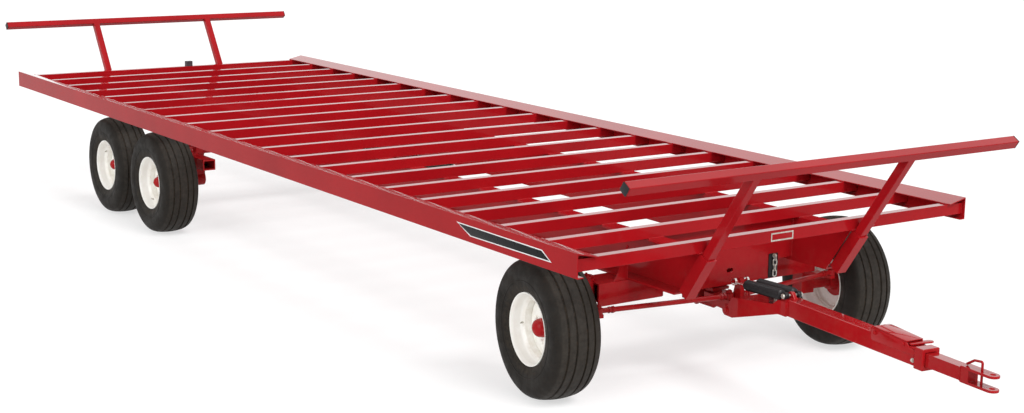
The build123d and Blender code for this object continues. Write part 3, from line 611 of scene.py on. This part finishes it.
# %% Hub section and wheel bolts
HUB_BARREL = [
    (0.0252, -0.062), (0.047, -0.062), (0.048, -0.06), (0.054, -0.014), (0.06, -0.01),
    (0.09, -0.01), (0.092, -0.008), (0.092, 0.012), (0.09, 0.014), (0.054, 0.0145),
    (0.052, 0.015), (0.052, 0.033), (0.0505, 0.035),
]
CAP_RADIUS = {"front": 0.05, "middle": 0.042, "rear": 0.042}
CAP_SEAT, CAP_HEIGHT = 0.042, 0.04
CAP_STEPS = 7


def hub_section(cap_radius):
    """The barrel, then a quarter of an ellipse for the cap, with a small plug in its middle."""
    section = HUB_BARREL + [(cap_radius, 0.035)]
    for step in range(CAP_STEPS):
        turn = math.radians(80 * step / (CAP_STEPS - 1))
        section.append((cap_radius * math.cos(turn), CAP_SEAT + CAP_HEIGHT * math.sin(turn)))
    top = section[-1][1]
    section += [(0.0075, top + 0.0004), (0.007, top + 0.0024), (0.0055, top + 0.003)]
    return section + [(0.0, top + 0.003), (0.0, 0.04), (0.0252, 0.04)]


BOLT_CIRCLE = 0.0762


def add_wheel_bolts(shape):
    """Six bolt heads on the disc's face, round the hub."""
    for count in range(6):
        angle = math.radians(30 + 60 * count)
        spot = (BOLT_CIRCLE * math.cos(angle), 0.023, BOLT_CIRCLE * math.sin(angle))
        add_bolt(shape, facing(spot, (0, 1, 0)), 0.021, 0.013)


def add_valve(shape, angle):
    """A short valve stem on the slope of the rim, with its cap."""
    spot = Vector((0.1745 * math.cos(angle), 0.052, 0.1745 * math.sin(angle)))
    lean = Vector((-0.55 * math.cos(angle), 0.83, -0.55 * math.sin(angle)))
    for start, end, first, last in (
        (-0.002, 0.003, 0.0075, 0.007), (0.003, 0.012, 0.0042, 0.0036),
        (0.012, 0.022, 0.0044, 0.0044), (0.022, 0.024, 0.0044, 0.003),
    ):
        add_cone(shape, facing(spot, lean), start, end, first, last, 12)


# %% [markdown]
# Each wheel is drawn about its own middle with its outside towards +Y, and then set on its joint. The
# joint of the steel model gives the middle and the axis, so nothing has to be measured twice.

# %% Set six wheels on their spindles


def wheel_place(wheel):
    """Where a wheel drawn about the origin stands, with its outside away from the wagon."""
    joint = joints[wheel + "_spin"]
    middle, axis = Vector(joint["pos_m"]), Vector(joint["axis"]).normalized()
    outward = axis if axis.y * middle.y > 0 else -axis
    up = Vector((0, 0, 1))
    turn = Matrix((outward.cross(up), outward, up)).transposed().to_4x4()
    return Matrix.Translation(middle) @ turn


def wheel_piece(kind, wheel, shape, material):
    """Sets one part of a wheel in place; tyre, rim and hub take over from the plain ones."""
    row, _, side = wheel.split("_")
    name = f"{row}_{kind}_{side}_dressed"
    piece = finish_piece(shape, name, material, wheel, place=wheel_place(wheel))
    if kind in ("tyre", "rim", "hub"):
        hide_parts(f"{row}_{kind}_{side}")


VALVE_ANGLES = {"front": 184, "middle": 238, "rear": 150}
for row in ("front", "middle", "rear"):
    for side in ("left", "right"):
        wheel = f"{row}_wheel_{side}"
        tyre = turned(tyre_section, 96)
        store(tyre, "scuff_and_sheen", tyre_scuff_and_sheen)
        store(tyre, "grime", tyre_grime)
        wheel_piece("tyre", wheel, tyre, TYRE_RUBBER)

        rim = turned(barrel_section, 72)
        disc = turned(disc_section, 72)
        join(rim, disc)
        store(rim, "grime", rim_grime_at)
        wheel_piece("rim", wheel, rim, RIM_CREAM)

        wheel_piece("hub", wheel, turned(hub_section(CAP_RADIUS[row]), 48), HUB_RED)

        bolts = bmesh.new()
        add_wheel_bolts(bolts)
        store(bolts, "grime", lambda co: 0.3)
        wheel_piece("bolts", wheel, bolts, RIM_CREAM)

        valve = bmesh.new()
        add_valve(valve, math.radians(VALVE_ANGLES[row] if side == "left" else 180 - VALVE_ANGLES[row]))
        wheel_piece("valve", wheel, valve, ZINC)

# %% [markdown]
# Small parts are easiest to place in the frame that the steel was drawn in: millimetres from the deck's
# front edge, from its centre line and from the top of its rails. What is steered was drawn straight
# ahead and then turned about an upright pin, so its small parts are drawn straight and turned with it.

# %% The drawing frame
DECK_FRONT, DECK_SIDE, DECK_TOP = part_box("side_rail_left")[1]
STEER_AT_REST = math.radians(-6.6)
STEEL_LENGTH = 8140.0


def at(x, y, z):
    """A place in metres from the millimetres of the drawing."""
    return Vector((DECK_FRONT + x / 1000, y / 1000, DECK_TOP + z / 1000))


def turned_about(joint_name):
    """The turn at rest about an upright joint."""
    pin = Vector(joints[joint_name]["pos_m"])
    return Matrix.Translation(pin) @ Matrix.Rotation(STEER_AT_REST, 4, "Z") @ Matrix.Translation(-pin)


WITH_HEAD = turned_about("head_swivel")
print("deck front", DECK_FRONT, "top", DECK_TOP)

# %% [markdown]
# A blank black panel with a pale edge lies on the right rail, a leaning four-sided shape as long as a
# third of the deck is wide. It could be painted on with a mask, but two thin plates with rounded edges
# give a real step that catches light, and they export as they are.

# %% Side panel
PANEL = [(-1069, -38), (-290, -38), (-209, -87), (-936, -94)]
BORDER, SLANT = 5.5, 3.1
RAIL_FACE = -DECK_SIDE * 1000


def panel_outline(inset):
    """The panel's corners, moved towards its middle by that many millimetres."""
    moves = ((SLANT, -1), (-1, -1), (-SLANT, 1), (1, 1))
    return [(x + along * inset, z + up * inset) for (x, z), (along, up) in zip(PANEL, moves)]


panel_black = plain_finish(
    "panel_black_gloss", {"Specular IOR Level": 0.12}, ((0.006, 0.0065, 0.0075), (0.011, 0.0115, 0.013)),
    patch=12, gloss=(40, 0.22, 0.4), grain=(300, 2, 0.05, 0.0003),
)
panel_pale = plain_finish(
    "panel_pale_edge", {"Specular IOR Level": 0.3}, ((0.8, 0.8, 0.8), (0.62, 0.62, 0.63)),
    patch=20, gloss=(40, 0.3, 0.5), grain=(300, 2, 0.05, 0.0003),
)
for name, inset, thickness, finish in (
    ("side_panel_edge", 0, 0.0004, panel_pale), ("side_panel", BORDER, 0.0007, panel_black),
):
    shape = bmesh.new()
    outline = [at(x, RAIL_FACE, z) for x, z in panel_outline(inset)]
    add_plate(shape, outline, (0, -thickness, 0), 0.0001)
    finish_piece(shape, name, finish, "chassis")
print("panel corners", len(PANEL))

# %% [markdown]
# A small blank plate is riveted to the front member. Its field is pressed a little lower than its edge,
# which an inset and a short move make, and four dome rivets hold it.

# %% Blank plate on the front member
PLATE_Y, PLATE_Z = -21.5, -70.5


def plate_corners(x, half_wide, half_high):
    """Four places round the plate's middle, in turn."""
    signs = ((-1, 1), (1, 1), (1, -1), (-1, -1))
    return [at(x, PLATE_Y + y * half_wide, PLATE_Z + z * half_high) for y, z in signs]


plate = bmesh.new()
extruded(plate, plate_corners(-22, 78.5, 22.5), (0.0014, 0, 0))
plate.normal_update()
front_face = max(plate.faces, key=lambda face: face.calc_center_median().x)
for margin in (0.006, 0.0008):
    bmesh.ops.inset_region(plate, faces=[front_face], thickness=margin, depth=0)
bmesh.ops.translate(plate, verts=front_face.verts, vec=(-0.0006, 0, 0))
finish_piece(plate, "front_plate", ZINC, "chassis")
field = bmesh.new()
add_plate(field, plate_corners(-21.2, 71, 15), (0.0006, 0, 0), 0.0002)
finish_piece(field, "front_plate_field", FRAME_RED, "chassis")
rivets = bmesh.new()
RIVET = [(0, 0), (0.003, 0), (0.0028, 0.001), (0.0018, 0.0018), (0, 0.0021)]
for corner in plate_corners(-20.6, 75, 19):
    add_turned(rivets, RIVET, facing(corner, (1, 0, 0)), 12)
finish_piece(rivets, "front_plate_rivets", ZINC, "chassis")
print("plate and four rivets")

# %% [markdown]
# Everything on the wagon is welded, and the beads show wherever two members meet. A bead could be a
# bump in the paint, but real beads catch the light at the edge. Each is a turned profile with a ripple
# for every dip of the torch, laid along the joint, painted over like the rest.

# %% Welds of the deck and the frame
CROSS_TOP, CROSS_BOTTOM, BEAM_BOTTOM = -34.0, -98.0, -352.0
CROSS_HALF, CROSS_FIRST, CROSS_COUNT = 25.5, -47.5, 21
CROSS_STEP = (STEEL_LENGTH + 2 * CROSS_FIRST) / (CROSS_COUNT - 1)
FLANGE_EDGE, BEAM_INNER, BEAM_OUTER = 1246.5, 490.0, 592.0
AXLE_X, AXLE_FACE, BOLSTER_X = -680.0, -591.0, -470.0
AXLE_STEP, AXLE_BOTTOM, HANGER_Y = 354.0, -472.0, 637.0
TANDEM_X, AXLE_HALF = -6008.0, 89.0


def add_seams(shape, side, seams, steps=8):
    """Beads between places of the drawing, on one side of the centre line."""
    for (x0, y0, z0), (x1, y1, z1), size in seams:
        add_weld(shape, at(x0, side * y0, z0), at(x1, side * y1, z1), size, steps)


deck_welds = bmesh.new()
for count in range(CROSS_COUNT):
    x = CROSS_FIRST - CROSS_STEP * count
    back, front, edge, top = x - CROSS_HALF, x + CROSS_HALF, FLANGE_EDGE - 2.5, CROSS_TOP + 2.5
    under = [((x, BEAM_INNER, CROSS_BOTTOM), (x, BEAM_OUTER, CROSS_BOTTOM), 0.005) for x in (back, front)]
    for side in (1, -1):
        add_seams(deck_welds, side, [((back, edge, top), (front, edge, top), 0.0045)])
        add_seams(deck_welds, side, under, 6)
deck_piece = finish_piece(deck_welds, "deck_welds", FRAME_RED, "chassis", 60)

rail_corner, rear_x = DECK_SIDE * 1000 - 6, 22 - STEEL_LENGTH
frame_seams = [
    ((BOLSTER_X, BEAM_INNER, -330), (BOLSTER_X, BEAM_INNER, CROSS_BOTTOM - 3), 0.006),
    ((AXLE_FACE, BEAM_OUTER + 1, BEAM_BOTTOM + 2), (AXLE_FACE, BEAM_OUTER + 1, BEAM_BOTTOM + 184), 0.005),
    ((AXLE_FACE + 10, AXLE_STEP, AXLE_BOTTOM), (AXLE_FACE + 10, AXLE_STEP, BEAM_BOTTOM - 4), 0.005),
    ((AXLE_FACE + 4, BEAM_INNER, BEAM_BOTTOM), (AXLE_FACE + 4, BEAM_OUTER, BEAM_BOTTOM), 0.006),
    ((BOLSTER_X - 10, -300, -436), (BOLSTER_X - 10, -20, -436), 0.004),
    ((-22, rail_corner, -96), (-22, rail_corner, -36), 0.0045),
    ((rear_x, rail_corner, -96), (rear_x, rail_corner, -36), 0.0045),
]
for x in (TANDEM_X - AXLE_HALF, TANDEM_X + AXLE_HALF):
    frame_seams.append(((x, BEAM_INNER, BEAM_BOTTOM), (x, BEAM_OUTER, BEAM_BOTTOM), 0.006))
    frame_seams.append(((x, HANGER_Y, BEAM_BOTTOM - 96), (x, HANGER_Y, BEAM_BOTTOM - 3), 0.006))
frame_welds = bmesh.new()
for side in (1, -1):
    add_seams(frame_welds, side, frame_seams)
frame_piece = finish_piece(frame_welds, "frame_welds", FRAME_RED, "chassis", 60)
print("weld faces", len(deck_piece.data.polygons), len(frame_piece.data.polygons))

# %% [markdown]
# The racks' cross bars are square tube, closed by a pushed-in plastic plug at each end. A cube is
# flattened into the cap, its edges are rounded, and it is turned by the rack's lean like the bar itself.

# %% Plugs in the cross bars
RACK_LEAN = math.radians(34)
BAR_X, BAR_Z, BAR_END = 320.94, 365.0, 1350.0
plugs = bmesh.new()
for x, lean in ((BAR_X, RACK_LEAN), (-STEEL_LENGTH - BAR_X, -RACK_LEAN)):
    for side in (1, -1):
        place = Matrix.Translation(at(x, side * (BAR_END + 3), BAR_Z)) @ Matrix.Rotation(lean, 4, "Y")
        join(plugs, rounded_block((0.0505, 0.006, 0.0505), 0.0022, 3), place)
finish_piece(plugs, "rack_bar_plugs", SATIN_BLACK, "chassis")

# %% [markdown]
# The lamp on the rear member is a dark housing with a red lens. The housing is the steel model's own
# block with a plastic finish. The lens is a cube with heavily rounded edges, let into the housing.

# %% Rear lamp
housing = plain_finish(
    "lamp_dark_plastic", {"Specular IOR Level": 0.4}, ((0.06, 0.04, 0.048), (0.03, 0.022, 0.028)),
    patch=60, gloss=(90, 0.4, 0.6), grain=(700, 3, 0.1, 0.0004),
)
for material_slot in cad_nodes["rear_lamp"].material_slots:
    material_slot.material = housing
glass = Finish("lamp_red_lens", {"Coat Weight": 0.5, "Coat Roughness": 0.05})
glass.colour(glass.patches((0.42, 0.008, 0.008), (0.3, 0.004, 0.004), 150, 3, 0.4, 0.6))
glass.gloss(90, 0.1, 0.22, 3)
glass.bump(glass.noise(320, 1), 0.3, 0.0008)
lens = rounded_block((0.01, 0.05, 0.036), 0.004, 4)
bmesh.ops.translate(lens, verts=lens.verts, vec=at(-8114, 195, -11))
finish_piece(lens, "rear_lamp_lens", glass.material, "chassis")

# %% [markdown]
# Two close-coiled springs carry the tongue. They are the most intricate thing on the wagon, so they are
# really wound: a small circle of wire is spun about the spring's line while it moves on by one wire's
# width a turn. A smooth can with a bump would lose the ripple along its edge.

# %% Wind the lift springs
REAR_ANCHOR, FRONT_ANCHOR = (-319.0, -375.0), (135.0, -348.0)
SPRING_RUN = Vector((FRONT_ANCHOR[0] - REAR_ANCHOR[0], 0, FRONT_ANCHOR[1] - REAR_ANCHOR[1])) / 1000
WIRE, COIL_RADIUS = 0.0054, 0.0243
COIL_START, COIL_END = 0.122, 0.42
WIRE_SIDES, TURN_STEPS = 8, 20
PLUG, ROD = 0.027, 0.0135
EYE_SECTION = [
    (0.0085, -0.01), (0.01, -0.0115), (0.017, -0.0115), (0.0185, -0.01),
    (0.0185, 0.01), (0.017, 0.0115), (0.01, 0.0115), (0.0085, 0.01),
]


def wound_spring():
    """One spring about Z, its rear plug, its coils and the rod to the front eye."""
    coil = bmesh.new()
    wire_start = Matrix.Translation((COIL_RADIUS, 0, COIL_START)) @ Matrix.Rotation(math.radians(90), 4, "X")
    bmesh.ops.create_circle(coil, cap_ends=False, segments=WIRE_SIDES, radius=WIRE, matrix=wire_start)
    pitch = WIRE * 2.02
    turns = int((COIL_END - COIL_START) / pitch)
    bmesh.ops.spin(
        coil, geom=coil.verts[:] + coil.edges[:], cent=(0, 0, 0), axis=(0, 0, 1),
        dvec=(0, 0, pitch / TURN_STEPS), angle=2 * math.pi * turns, steps=turns * TURN_STEPS,
        use_merge=False, use_duplicate=False,
    )
    open_ends = [edge for edge in coil.edges if len(edge.link_faces) == 1]
    bmesh.ops.holes_fill(coil, edges=open_ends, sides=0)
    rear_plug = [
        (0.008, COIL_START - 0.01), (0.018, COIL_START - 0.01), (PLUG, COIL_START - 0.004),
        (PLUG, COIL_START + 0.004), (0.008, COIL_START + 0.004),
    ]
    add_turned(coil, rear_plug, Matrix.Identity(4), 32, closed=True)
    top, rod_end = COIL_START + pitch * turns, SPRING_RUN.length - 0.01
    front_plug = [
        (0, top - 0.003), (PLUG, top - 0.003), (PLUG, top + 0.005), (0.018, top + 0.011),
        (ROD, top + 0.012), (ROD, rod_end), (0, rod_end),
    ]
    add_turned(coil, front_plug, Matrix.Identity(4), 32)
    print("coil turns", turns, "from", COIL_START, "to", round(top, 4))
    return coil


SPRING_SPREAD = 40.0
springs = bmesh.new()
for side in (1, -1):
    rear_end = at(REAR_ANCHOR[0], side * SPRING_SPREAD, REAR_ANCHOR[1])
    join(springs, wound_spring(), facing(rear_end, SPRING_RUN))
    eye = facing(at(FRONT_ANCHOR[0], side * SPRING_SPREAD, FRONT_ANCHOR[1]), (0, 1, 0))
    add_turned(springs, EYE_SECTION, eye, 28, closed=True)
springs_piece = finish_piece(springs, "wound_springs", SATIN_BLACK, "tongue", 50, WITH_HEAD)
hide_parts("lift_springs")

# %% [markdown]
# A triangular bracket on the tongue holds the springs' front eyes by one pin. The bracket is an outline
# extruded into a plate, and the pin is turned, with a head at each end and a split pin behind one.

# %% Spring bracket and pin
TUBE_TOP, TUBE_LOW, TUBE_HALF = -362.5, -451.5, 44.5
BRACKET_HALF = 11
BRACKET = [(103, TUBE_TOP), (171, TUBE_TOP), (149, -333), (141, -329), (129, -329), (121, -333)]
PIN_SECTION = [
    (0, -0.062), (0.0115, -0.062), (0.0135, -0.06), (0.0135, -0.0545), (0.008, -0.054), (0.008, 0.054),
    (0.0125, 0.0545), (0.0125, 0.0575), (0.008, 0.058), (0.008, 0.064), (0.006, 0.066), (0, 0.066),
]
bracket = bmesh.new()
bracket_outline = [at(x, -BRACKET_HALF, z) for x, z in BRACKET]
add_plate(bracket, bracket_outline, (0, 2 * BRACKET_HALF / 1000, 0), 0.002)
for side in (1, -1):
    add_seams(bracket, side, [((106, BRACKET_HALF, TUBE_TOP), (168, BRACKET_HALF, TUBE_TOP), 0.0045)])
finish_piece(bracket, "spring_bracket", TONGUE_RED_PAINTED_LIGHT, "tongue", 40, WITH_HEAD)

pin = bmesh.new()
add_turned(pin, PIN_SECTION, facing(at(FRONT_ANCHOR[0], 0, FRONT_ANCHOR[1]), (0, 1, 0)), 24)
split_pin = facing(at(FRONT_ANCHOR[0], 61, FRONT_ANCHOR[1]), (0, 0, 1))
add_turned(pin, rod(0.0016, -0.013, 0.011), split_pin, 8)
finish_piece(pin, "spring_pin", ZINC, "tongue", 40, WITH_HEAD)

# %% [markdown]
# The latch is a bent cover plate over two cheeks welded to the tongue's sides, with a flat hand lever
# that comes out sideways under its front edge. Cover and cheeks are outlines extruded to their thickness.
# The lever's rounded end is half a circle of points in its outline, and the lever is then swung out.

# %% Latch
REAR, FRONT, COLLAR_BACK = 817.0, 1076.0, 1132.0
CHEEK = 6.0
COVER = [
    (REAR, TUBE_TOP), (REAR, -349), (REAR + 4, -339), (REAR + 11, -332.5), (REAR + 21, -329),
    (REAR + 36, -328.5), (FRONT, -341), (FRONT - 1, -347), (REAR + 36, -334.5), (REAR + 24, -335),
    (REAR + 15, -338), (REAR + 9, -343), (REAR + 6, -350), (REAR + 6, TUBE_TOP),
]
CHEEK_OUTLINE = [
    (REAR + 7, -398), (REAR + 7, -345), (REAR + 18, -335.5), (REAR + 34, -335.5),
    (FRONT - 2, -348), (FRONT + 18, -368), (COLLAR_BACK, -374), (COLLAR_BACK, -398),
]
cover_half = TUBE_HALF + CHEEK
latch_cover = bmesh.new()
cover_outline = [at(x, -cover_half, z) for x, z in COVER]
add_plate(latch_cover, cover_outline, (0, 2 * cover_half / 1000, 0))
for side in (1, -1):
    cheek_outline = [at(x, side * TUBE_HALF, z) for x, z in CHEEK_OUTLINE]
    add_plate(latch_cover, cheek_outline, (0, side * CHEEK / 1000, 0), 0.001)
    cheek_seam = ((REAR + 12, TUBE_HALF + 1, -399), (COLLAR_BACK - 6, TUBE_HALF + 1, -399), 0.0038)
    add_seams(latch_cover, side, [cheek_seam])
latch_piece = finish_piece(latch_cover, "latch_cover", TONGUE_RED_PAINTED_LIGHT, "tongue", 40, WITH_HEAD)
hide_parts("latch")

LEVER_LONG, LEVER_HALF, LEVER_THICK = 0.112, 0.019, 0.007
lever = bmesh.new()
lever_outline = [Vector((0, -LEVER_HALF, 0)), Vector((0, LEVER_HALF, 0))]
for step in range(9):
    turn = math.radians(90 - 180 * step / 8)
    lever_outline.append(Vector((LEVER_LONG + LEVER_HALF * math.cos(turn), LEVER_HALF * math.sin(turn), 0)))
add_plate(lever, lever_outline, (0, 0, LEVER_THICK), 0.0015)
sideways = Matrix.Rotation(math.radians(82), 4, "Z") @ Matrix.Rotation(math.radians(-1), 4, "Y")
bmesh.ops.transform(lever, matrix=Matrix.Translation(at(1080, -38, -359)) @ sideways, verts=lever.verts)
add_turned(lever, rod(0.006, -0.0445, 0.0445), facing(at(1056, 0, -352.5), (0, 1, 0)), 16)
finish_piece(lever, "latch_lever", TONGUE_RED_PAINTED_LIGHT, "tongue", 40, WITH_HEAD)

latch_bolts, collar_bolts = bmesh.new(), bmesh.new()
for side in (1, -1):
    for x, z in ((852, -358), (1056, -360)):
        add_bolt(latch_bolts, facing(at(x, side * cover_half, z), (0, side, 0)), 0.015, 0.007)
    add_bolt(collar_bolts, facing(at(1118, side * TUBE_HALF, -424), (0, side, 0)), 0.015, 0.009)
finish_piece(latch_bolts, "latch_bolts", TONGUE_RED_PAINTED_LIGHT, "tongue", place=WITH_HEAD)
finish_piece(collar_bolts, "collar_bolts", ZINC, "tongue", place=WITH_HEAD)
print("latch points", len(COVER) + len(CHEEK_OUTLINE))

# %% [markdown]
# The tongue is welded up as well: the yoke's side plates to the tube, the collar round the mouth, and on
# the sliding part the clevis to the inner tube. The tilt pin ends in a washer and a split pin.

# %% Tongue welds and tilt pin
YOKE_X, SEAM_Y = 160.0, 45.5
tongue_welds = bmesh.new()
for side in (1, -1):
    add_seams(tongue_welds, side, [
        ((YOKE_X, SEAM_Y, TUBE_LOW + 3), (YOKE_X, SEAM_Y, TUBE_TOP - 14), 0.0055),
        ((COLLAR_BACK, SEAM_Y, TUBE_LOW + 2), (COLLAR_BACK, SEAM_Y, -402), 0.0045),
        ((100, TUBE_HALF, TUBE_TOP - 12), (158, TUBE_HALF, TUBE_TOP - 12), 0.004),
    ])
for z in (TUBE_LOW, TUBE_TOP):
    add_seams(tongue_welds, 1, [((COLLAR_BACK, -44, z), (COLLAR_BACK, 44, z), 0.0045)])
finish_piece(tongue_welds, "tongue_welds", TONGUE_RED_PAINTED_LIGHT, "tongue", 60, WITH_HEAD)

HITCH_BACK, INNER_HALF = 1415.0, 31.75
hitch_welds = bmesh.new()
for side in (1, -1):
    level = -407 + side * (INNER_HALF + 0.5)
    add_seams(hitch_welds, side, [((HITCH_BACK, INNER_HALF, -438), (HITCH_BACK, INNER_HALF, -376), 0.004)])
    add_seams(hitch_welds, 1, [((HITCH_BACK, -30, level), (HITCH_BACK, 30, level), 0.004)])
finish_piece(hitch_welds, "hitch_welds", TONGUE_RED_PAINTED_LIGHT, "hitch", 60, WITH_HEAD)

TILT_X, TILT_Z, TILT_PIN_END = -300.0, -520.0, 113.0
WASHER = [(0.0152, 0), (0.027, 0), (0.027, 0.0035), (0.0152, 0.0035)]
tilt_ends = bmesh.new()
for side in (1, -1):
    washer = facing(at(TILT_X, side * (TILT_PIN_END - 10), TILT_Z), (0, side, 0))
    add_turned(tilt_ends, WASHER, washer, 28, closed=True)
    split_pin = facing(at(TILT_X, side * (TILT_PIN_END - 3), TILT_Z), (0.3, 0, 1))
    add_turned(tilt_ends, rod(0.0022, -0.021, 0.021), split_pin, 8)
finish_piece(tilt_ends, "tilt_pin_washers", TONGUE_RED_PAINTED_LIGHT, "tongue", place=WITH_HEAD)
print("tongue welded")

# %% [markdown]
# The steering gear is bolted: a slotted nut and split pin on each stud of the tie rods, lock nuts on the
# rods themselves, three bolts and a grease nipple on each kingpin cap, and four bolts under the pivot
# bracket. Each rides on the body that its stud or cap belongs to.

# %% Nuts, bolts and grease nipples of the steering
EYE_TOP = -449.0
ARM_REACH, ARM_SPREAD = 200.0, 40.0
HEAD_X = -560.0
KINGPIN_Y, CAP_TOP, CAP_BOLTS = 800.0, -321.0, 26.0
UP, DOWN = Vector((0, 0, 1)), Vector((0, 0, -1))


def add_castle_nut(shape, place):
    """A six-sided nut with a slotted crown, the stud's end and a split pin through it."""
    add_cone(shape, place, 0.00055, 0.01005, 0.0185, 0.0185)
    add_turned(shape, rod(0.015, 0.009, 0.015), place, 12)
    stud = [(0, 0.015), (0.0095, 0.015), (0.0095, 0.018), (0.008, 0.0195), (0, 0.0195)]
    add_turned(shape, stud, place, 16)
    across = place @ Matrix.Translation((0, 0, 0.0125)) @ Matrix.Rotation(math.radians(90), 4, "X")
    add_turned(shape, rod(0.0016, -0.019, 0.019), across, 8)


def add_nipple(shape, place):
    """A grease nipple: hexagon, neck and ball."""
    add_cone(shape, place, 0, 0.005, 0.0055, 0.0055)
    ball = [(0, 0.005), (0.0032, 0.005), (0.0024, 0.009), (0.0034, 0.0115), (0.003, 0.0145), (0, 0.0155)]
    add_turned(shape, ball, place, 12)


# The steering's nuts and bolts take the tie rods' darker copy of the frame red, which is painted shade.
head_nuts = bmesh.new()
for side in (1, -1):
    add_castle_nut(head_nuts, facing(at(HEAD_X + ARM_REACH, side * ARM_SPREAD, EYE_TOP + 0.6), UP))
finish_piece(head_nuts, "head_stud_nuts", ROD_RED_PAINTED_SHADE, "steering_head", place=WITH_HEAD)

bracket_bolts = bmesh.new()
for x in (-735, -655):
    for y in (-42, 42):
        add_bolt(bracket_bolts, facing(at(x, y, -560), DOWN), 0.024, 0.015)
add_castle_nut(bracket_bolts, facing(at(HEAD_X, 0, -562), DOWN))
finish_piece(bracket_bolts, "pivot_bolts", ROD_RED_PAINTED_SHADE, "chassis")

for side_name, side in (("left", 1), ("right", -1)):
    with_knuckle = turned_about(f"knuckle_{side_name}_steer")
    stud_x, stud_y = AXLE_X + ARM_REACH, side * (KINGPIN_Y + ARM_SPREAD)
    gear = bmesh.new()
    add_castle_nut(gear, facing(at(stud_x, stud_y, EYE_TOP + 0.6), UP))
    for count in range(3):
        angle = math.radians(120 * count + 30)
        x, y = AXLE_X + CAP_BOLTS * math.cos(angle), side * KINGPIN_Y + CAP_BOLTS * math.sin(angle)
        add_bolt(gear, facing(at(x, y, CAP_TOP), UP), 0.013, 0.007)
    add_nipple(gear, facing(at(AXLE_X, side * KINGPIN_Y, CAP_TOP), UP))
    name, body = f"knuckle_nuts_{side_name}", f"knuckle_{side_name}"
    finish_piece(gear, name, ROD_RED_PAINTED_SHADE, body, place=with_knuckle)

    inner_stud = Vector(joints[f"tie_rod_{side_name}_swing"]["pos_m"])
    outer_stud = with_knuckle @ at(stud_x, stud_y, 0)
    outer_stud.z = inner_stud.z
    along = (outer_stud - inner_stud).normalized()
    rod_nuts = bmesh.new()
    for spot, way, first in ((inner_stud, along, 0.03), (outer_stud, -along, 0.064)):
        for near, wide in ((first, 0.0185), (first + 0.022, 0.0195)):
            add_cone(rod_nuts, facing(spot + way * near, way), -0.0065, 0.0065, wide, wide)
    finish_piece(rod_nuts, f"tie_rod_nuts_{side_name}", ROD_RED_PAINTED_SHADE, f"tie_rod_{side_name}")
print("steering gear dressed")

# %% [markdown]
# A short safety chain hangs from the bolster beside the left beam, in front of a black pad that is held
# by the same bolt. The pad is painted shade: a dark sheet where the gap in the bolster lies in shadow.
# Each link is a ring of wire whose far half is pulled away to make it long, and every second link is turned
# by a quarter.

# %% Safety chain
LINK_RADIUS, LINK_WIRE, LINK_PULL = 0.0105, 0.0034, 0.0165
LINK_STEP = LINK_PULL + 2 * (LINK_RADIUS - LINK_WIRE) - 0.0006
CHAIN_TOP, CHAIN_END = at(-454, 349, -316), at(-454, 350, -424)
SHADE_PAD = [(314, -296), (380, -296), (380, -434), (314, -434)]


def chain_link():
    """One link about the origin, long along Z."""
    link = bmesh.new()
    turns = [math.radians(45 * count) for count in range(8)]
    profile = [(LINK_RADIUS + LINK_WIRE * math.cos(turn), LINK_WIRE * math.sin(turn)) for turn in turns]
    add_turned(link, profile, facing((0, 0, 0), (0, 1, 0)), 20, closed=True)
    far_half = [point for point in link.verts if point.co.z > 1e-6]
    bmesh.ops.translate(link, verts=far_half, vec=(0, 0, LINK_PULL))
    bmesh.ops.translate(link, verts=link.verts, vec=(0, 0, -LINK_PULL / 2))
    return link


chain = bmesh.new()
chain_run = CHAIN_END - CHAIN_TOP
link_count = int(chain_run.length / LINK_STEP) + 1
for count in range(link_count):
    spot = CHAIN_TOP + chain_run.normalized() * LINK_STEP * count
    place = facing(spot, chain_run) @ Matrix.Rotation(math.radians(90 * (count % 2) + 20), 4, "Z")
    join(chain, chain_link(), place)
finish_piece(chain, "safety_chain", ZINC, "chassis", 60)
# The black pad is painted shade: a dark sheet where the gap in the bolster lies in shadow.
shade_pad = bmesh.new()
add_plate(shade_pad, [at(BOLSTER_X, y, z) for y, z in SHADE_PAD], (0.006, 0, 0), 0.0015)
finish_piece(shade_pad, "chain_shade_pad", SATIN_BLACK, "chassis")
hook = bmesh.new()
add_bolt(hook, facing(at(BOLSTER_X + 6, 349, -308), (1, 0, 0)), 0.016, 0.016)
finish_piece(hook, "chain_bolt", ZINC, "chassis")
print("chain links", link_count)

# %% [markdown]
# The walking beams turn on trunnions, each closed by a cap with three bolts and a grease nipple. The
# cap is a short turned disc that lies against the end of the shaft.

# %% Trunnion caps
TRUNNION_Z, TRUNNION_END, TRUNNION_BOLTS = -447.0, 909.0, 26.0
CAP_SECTION = [
    (0, 0.0005), (0.045, 0.0005), (0.046, 0.0015), (0.046, 0.0065), (0.044, 0.0085), (0, 0.009),
]
caps, cap_bolts = bmesh.new(), bmesh.new()
for side in (1, -1):
    outward = Vector((0, side, 0))
    add_turned(caps, CAP_SECTION, facing(at(TANDEM_X, side * TRUNNION_END, TRUNNION_Z), outward), 36)
    for count in range(3):
        angle = math.radians(90 + 120 * count)
        x, z = TANDEM_X + TRUNNION_BOLTS * math.cos(angle), TRUNNION_Z + TRUNNION_BOLTS * math.sin(angle)
        add_bolt(cap_bolts, facing(at(x, side * (TRUNNION_END + 8.8), z), outward), 0.017, 0.01)
    add_nipple(cap_bolts, facing(at(TANDEM_X, side * (TRUNNION_END + 9), TRUNNION_Z), outward))
finish_piece(caps, "trunnion_caps", FRAME_RED, "chassis")
finish_piece(cap_bolts, "trunnion_bolts", ZINC, "chassis")
print("trunnion caps closed")
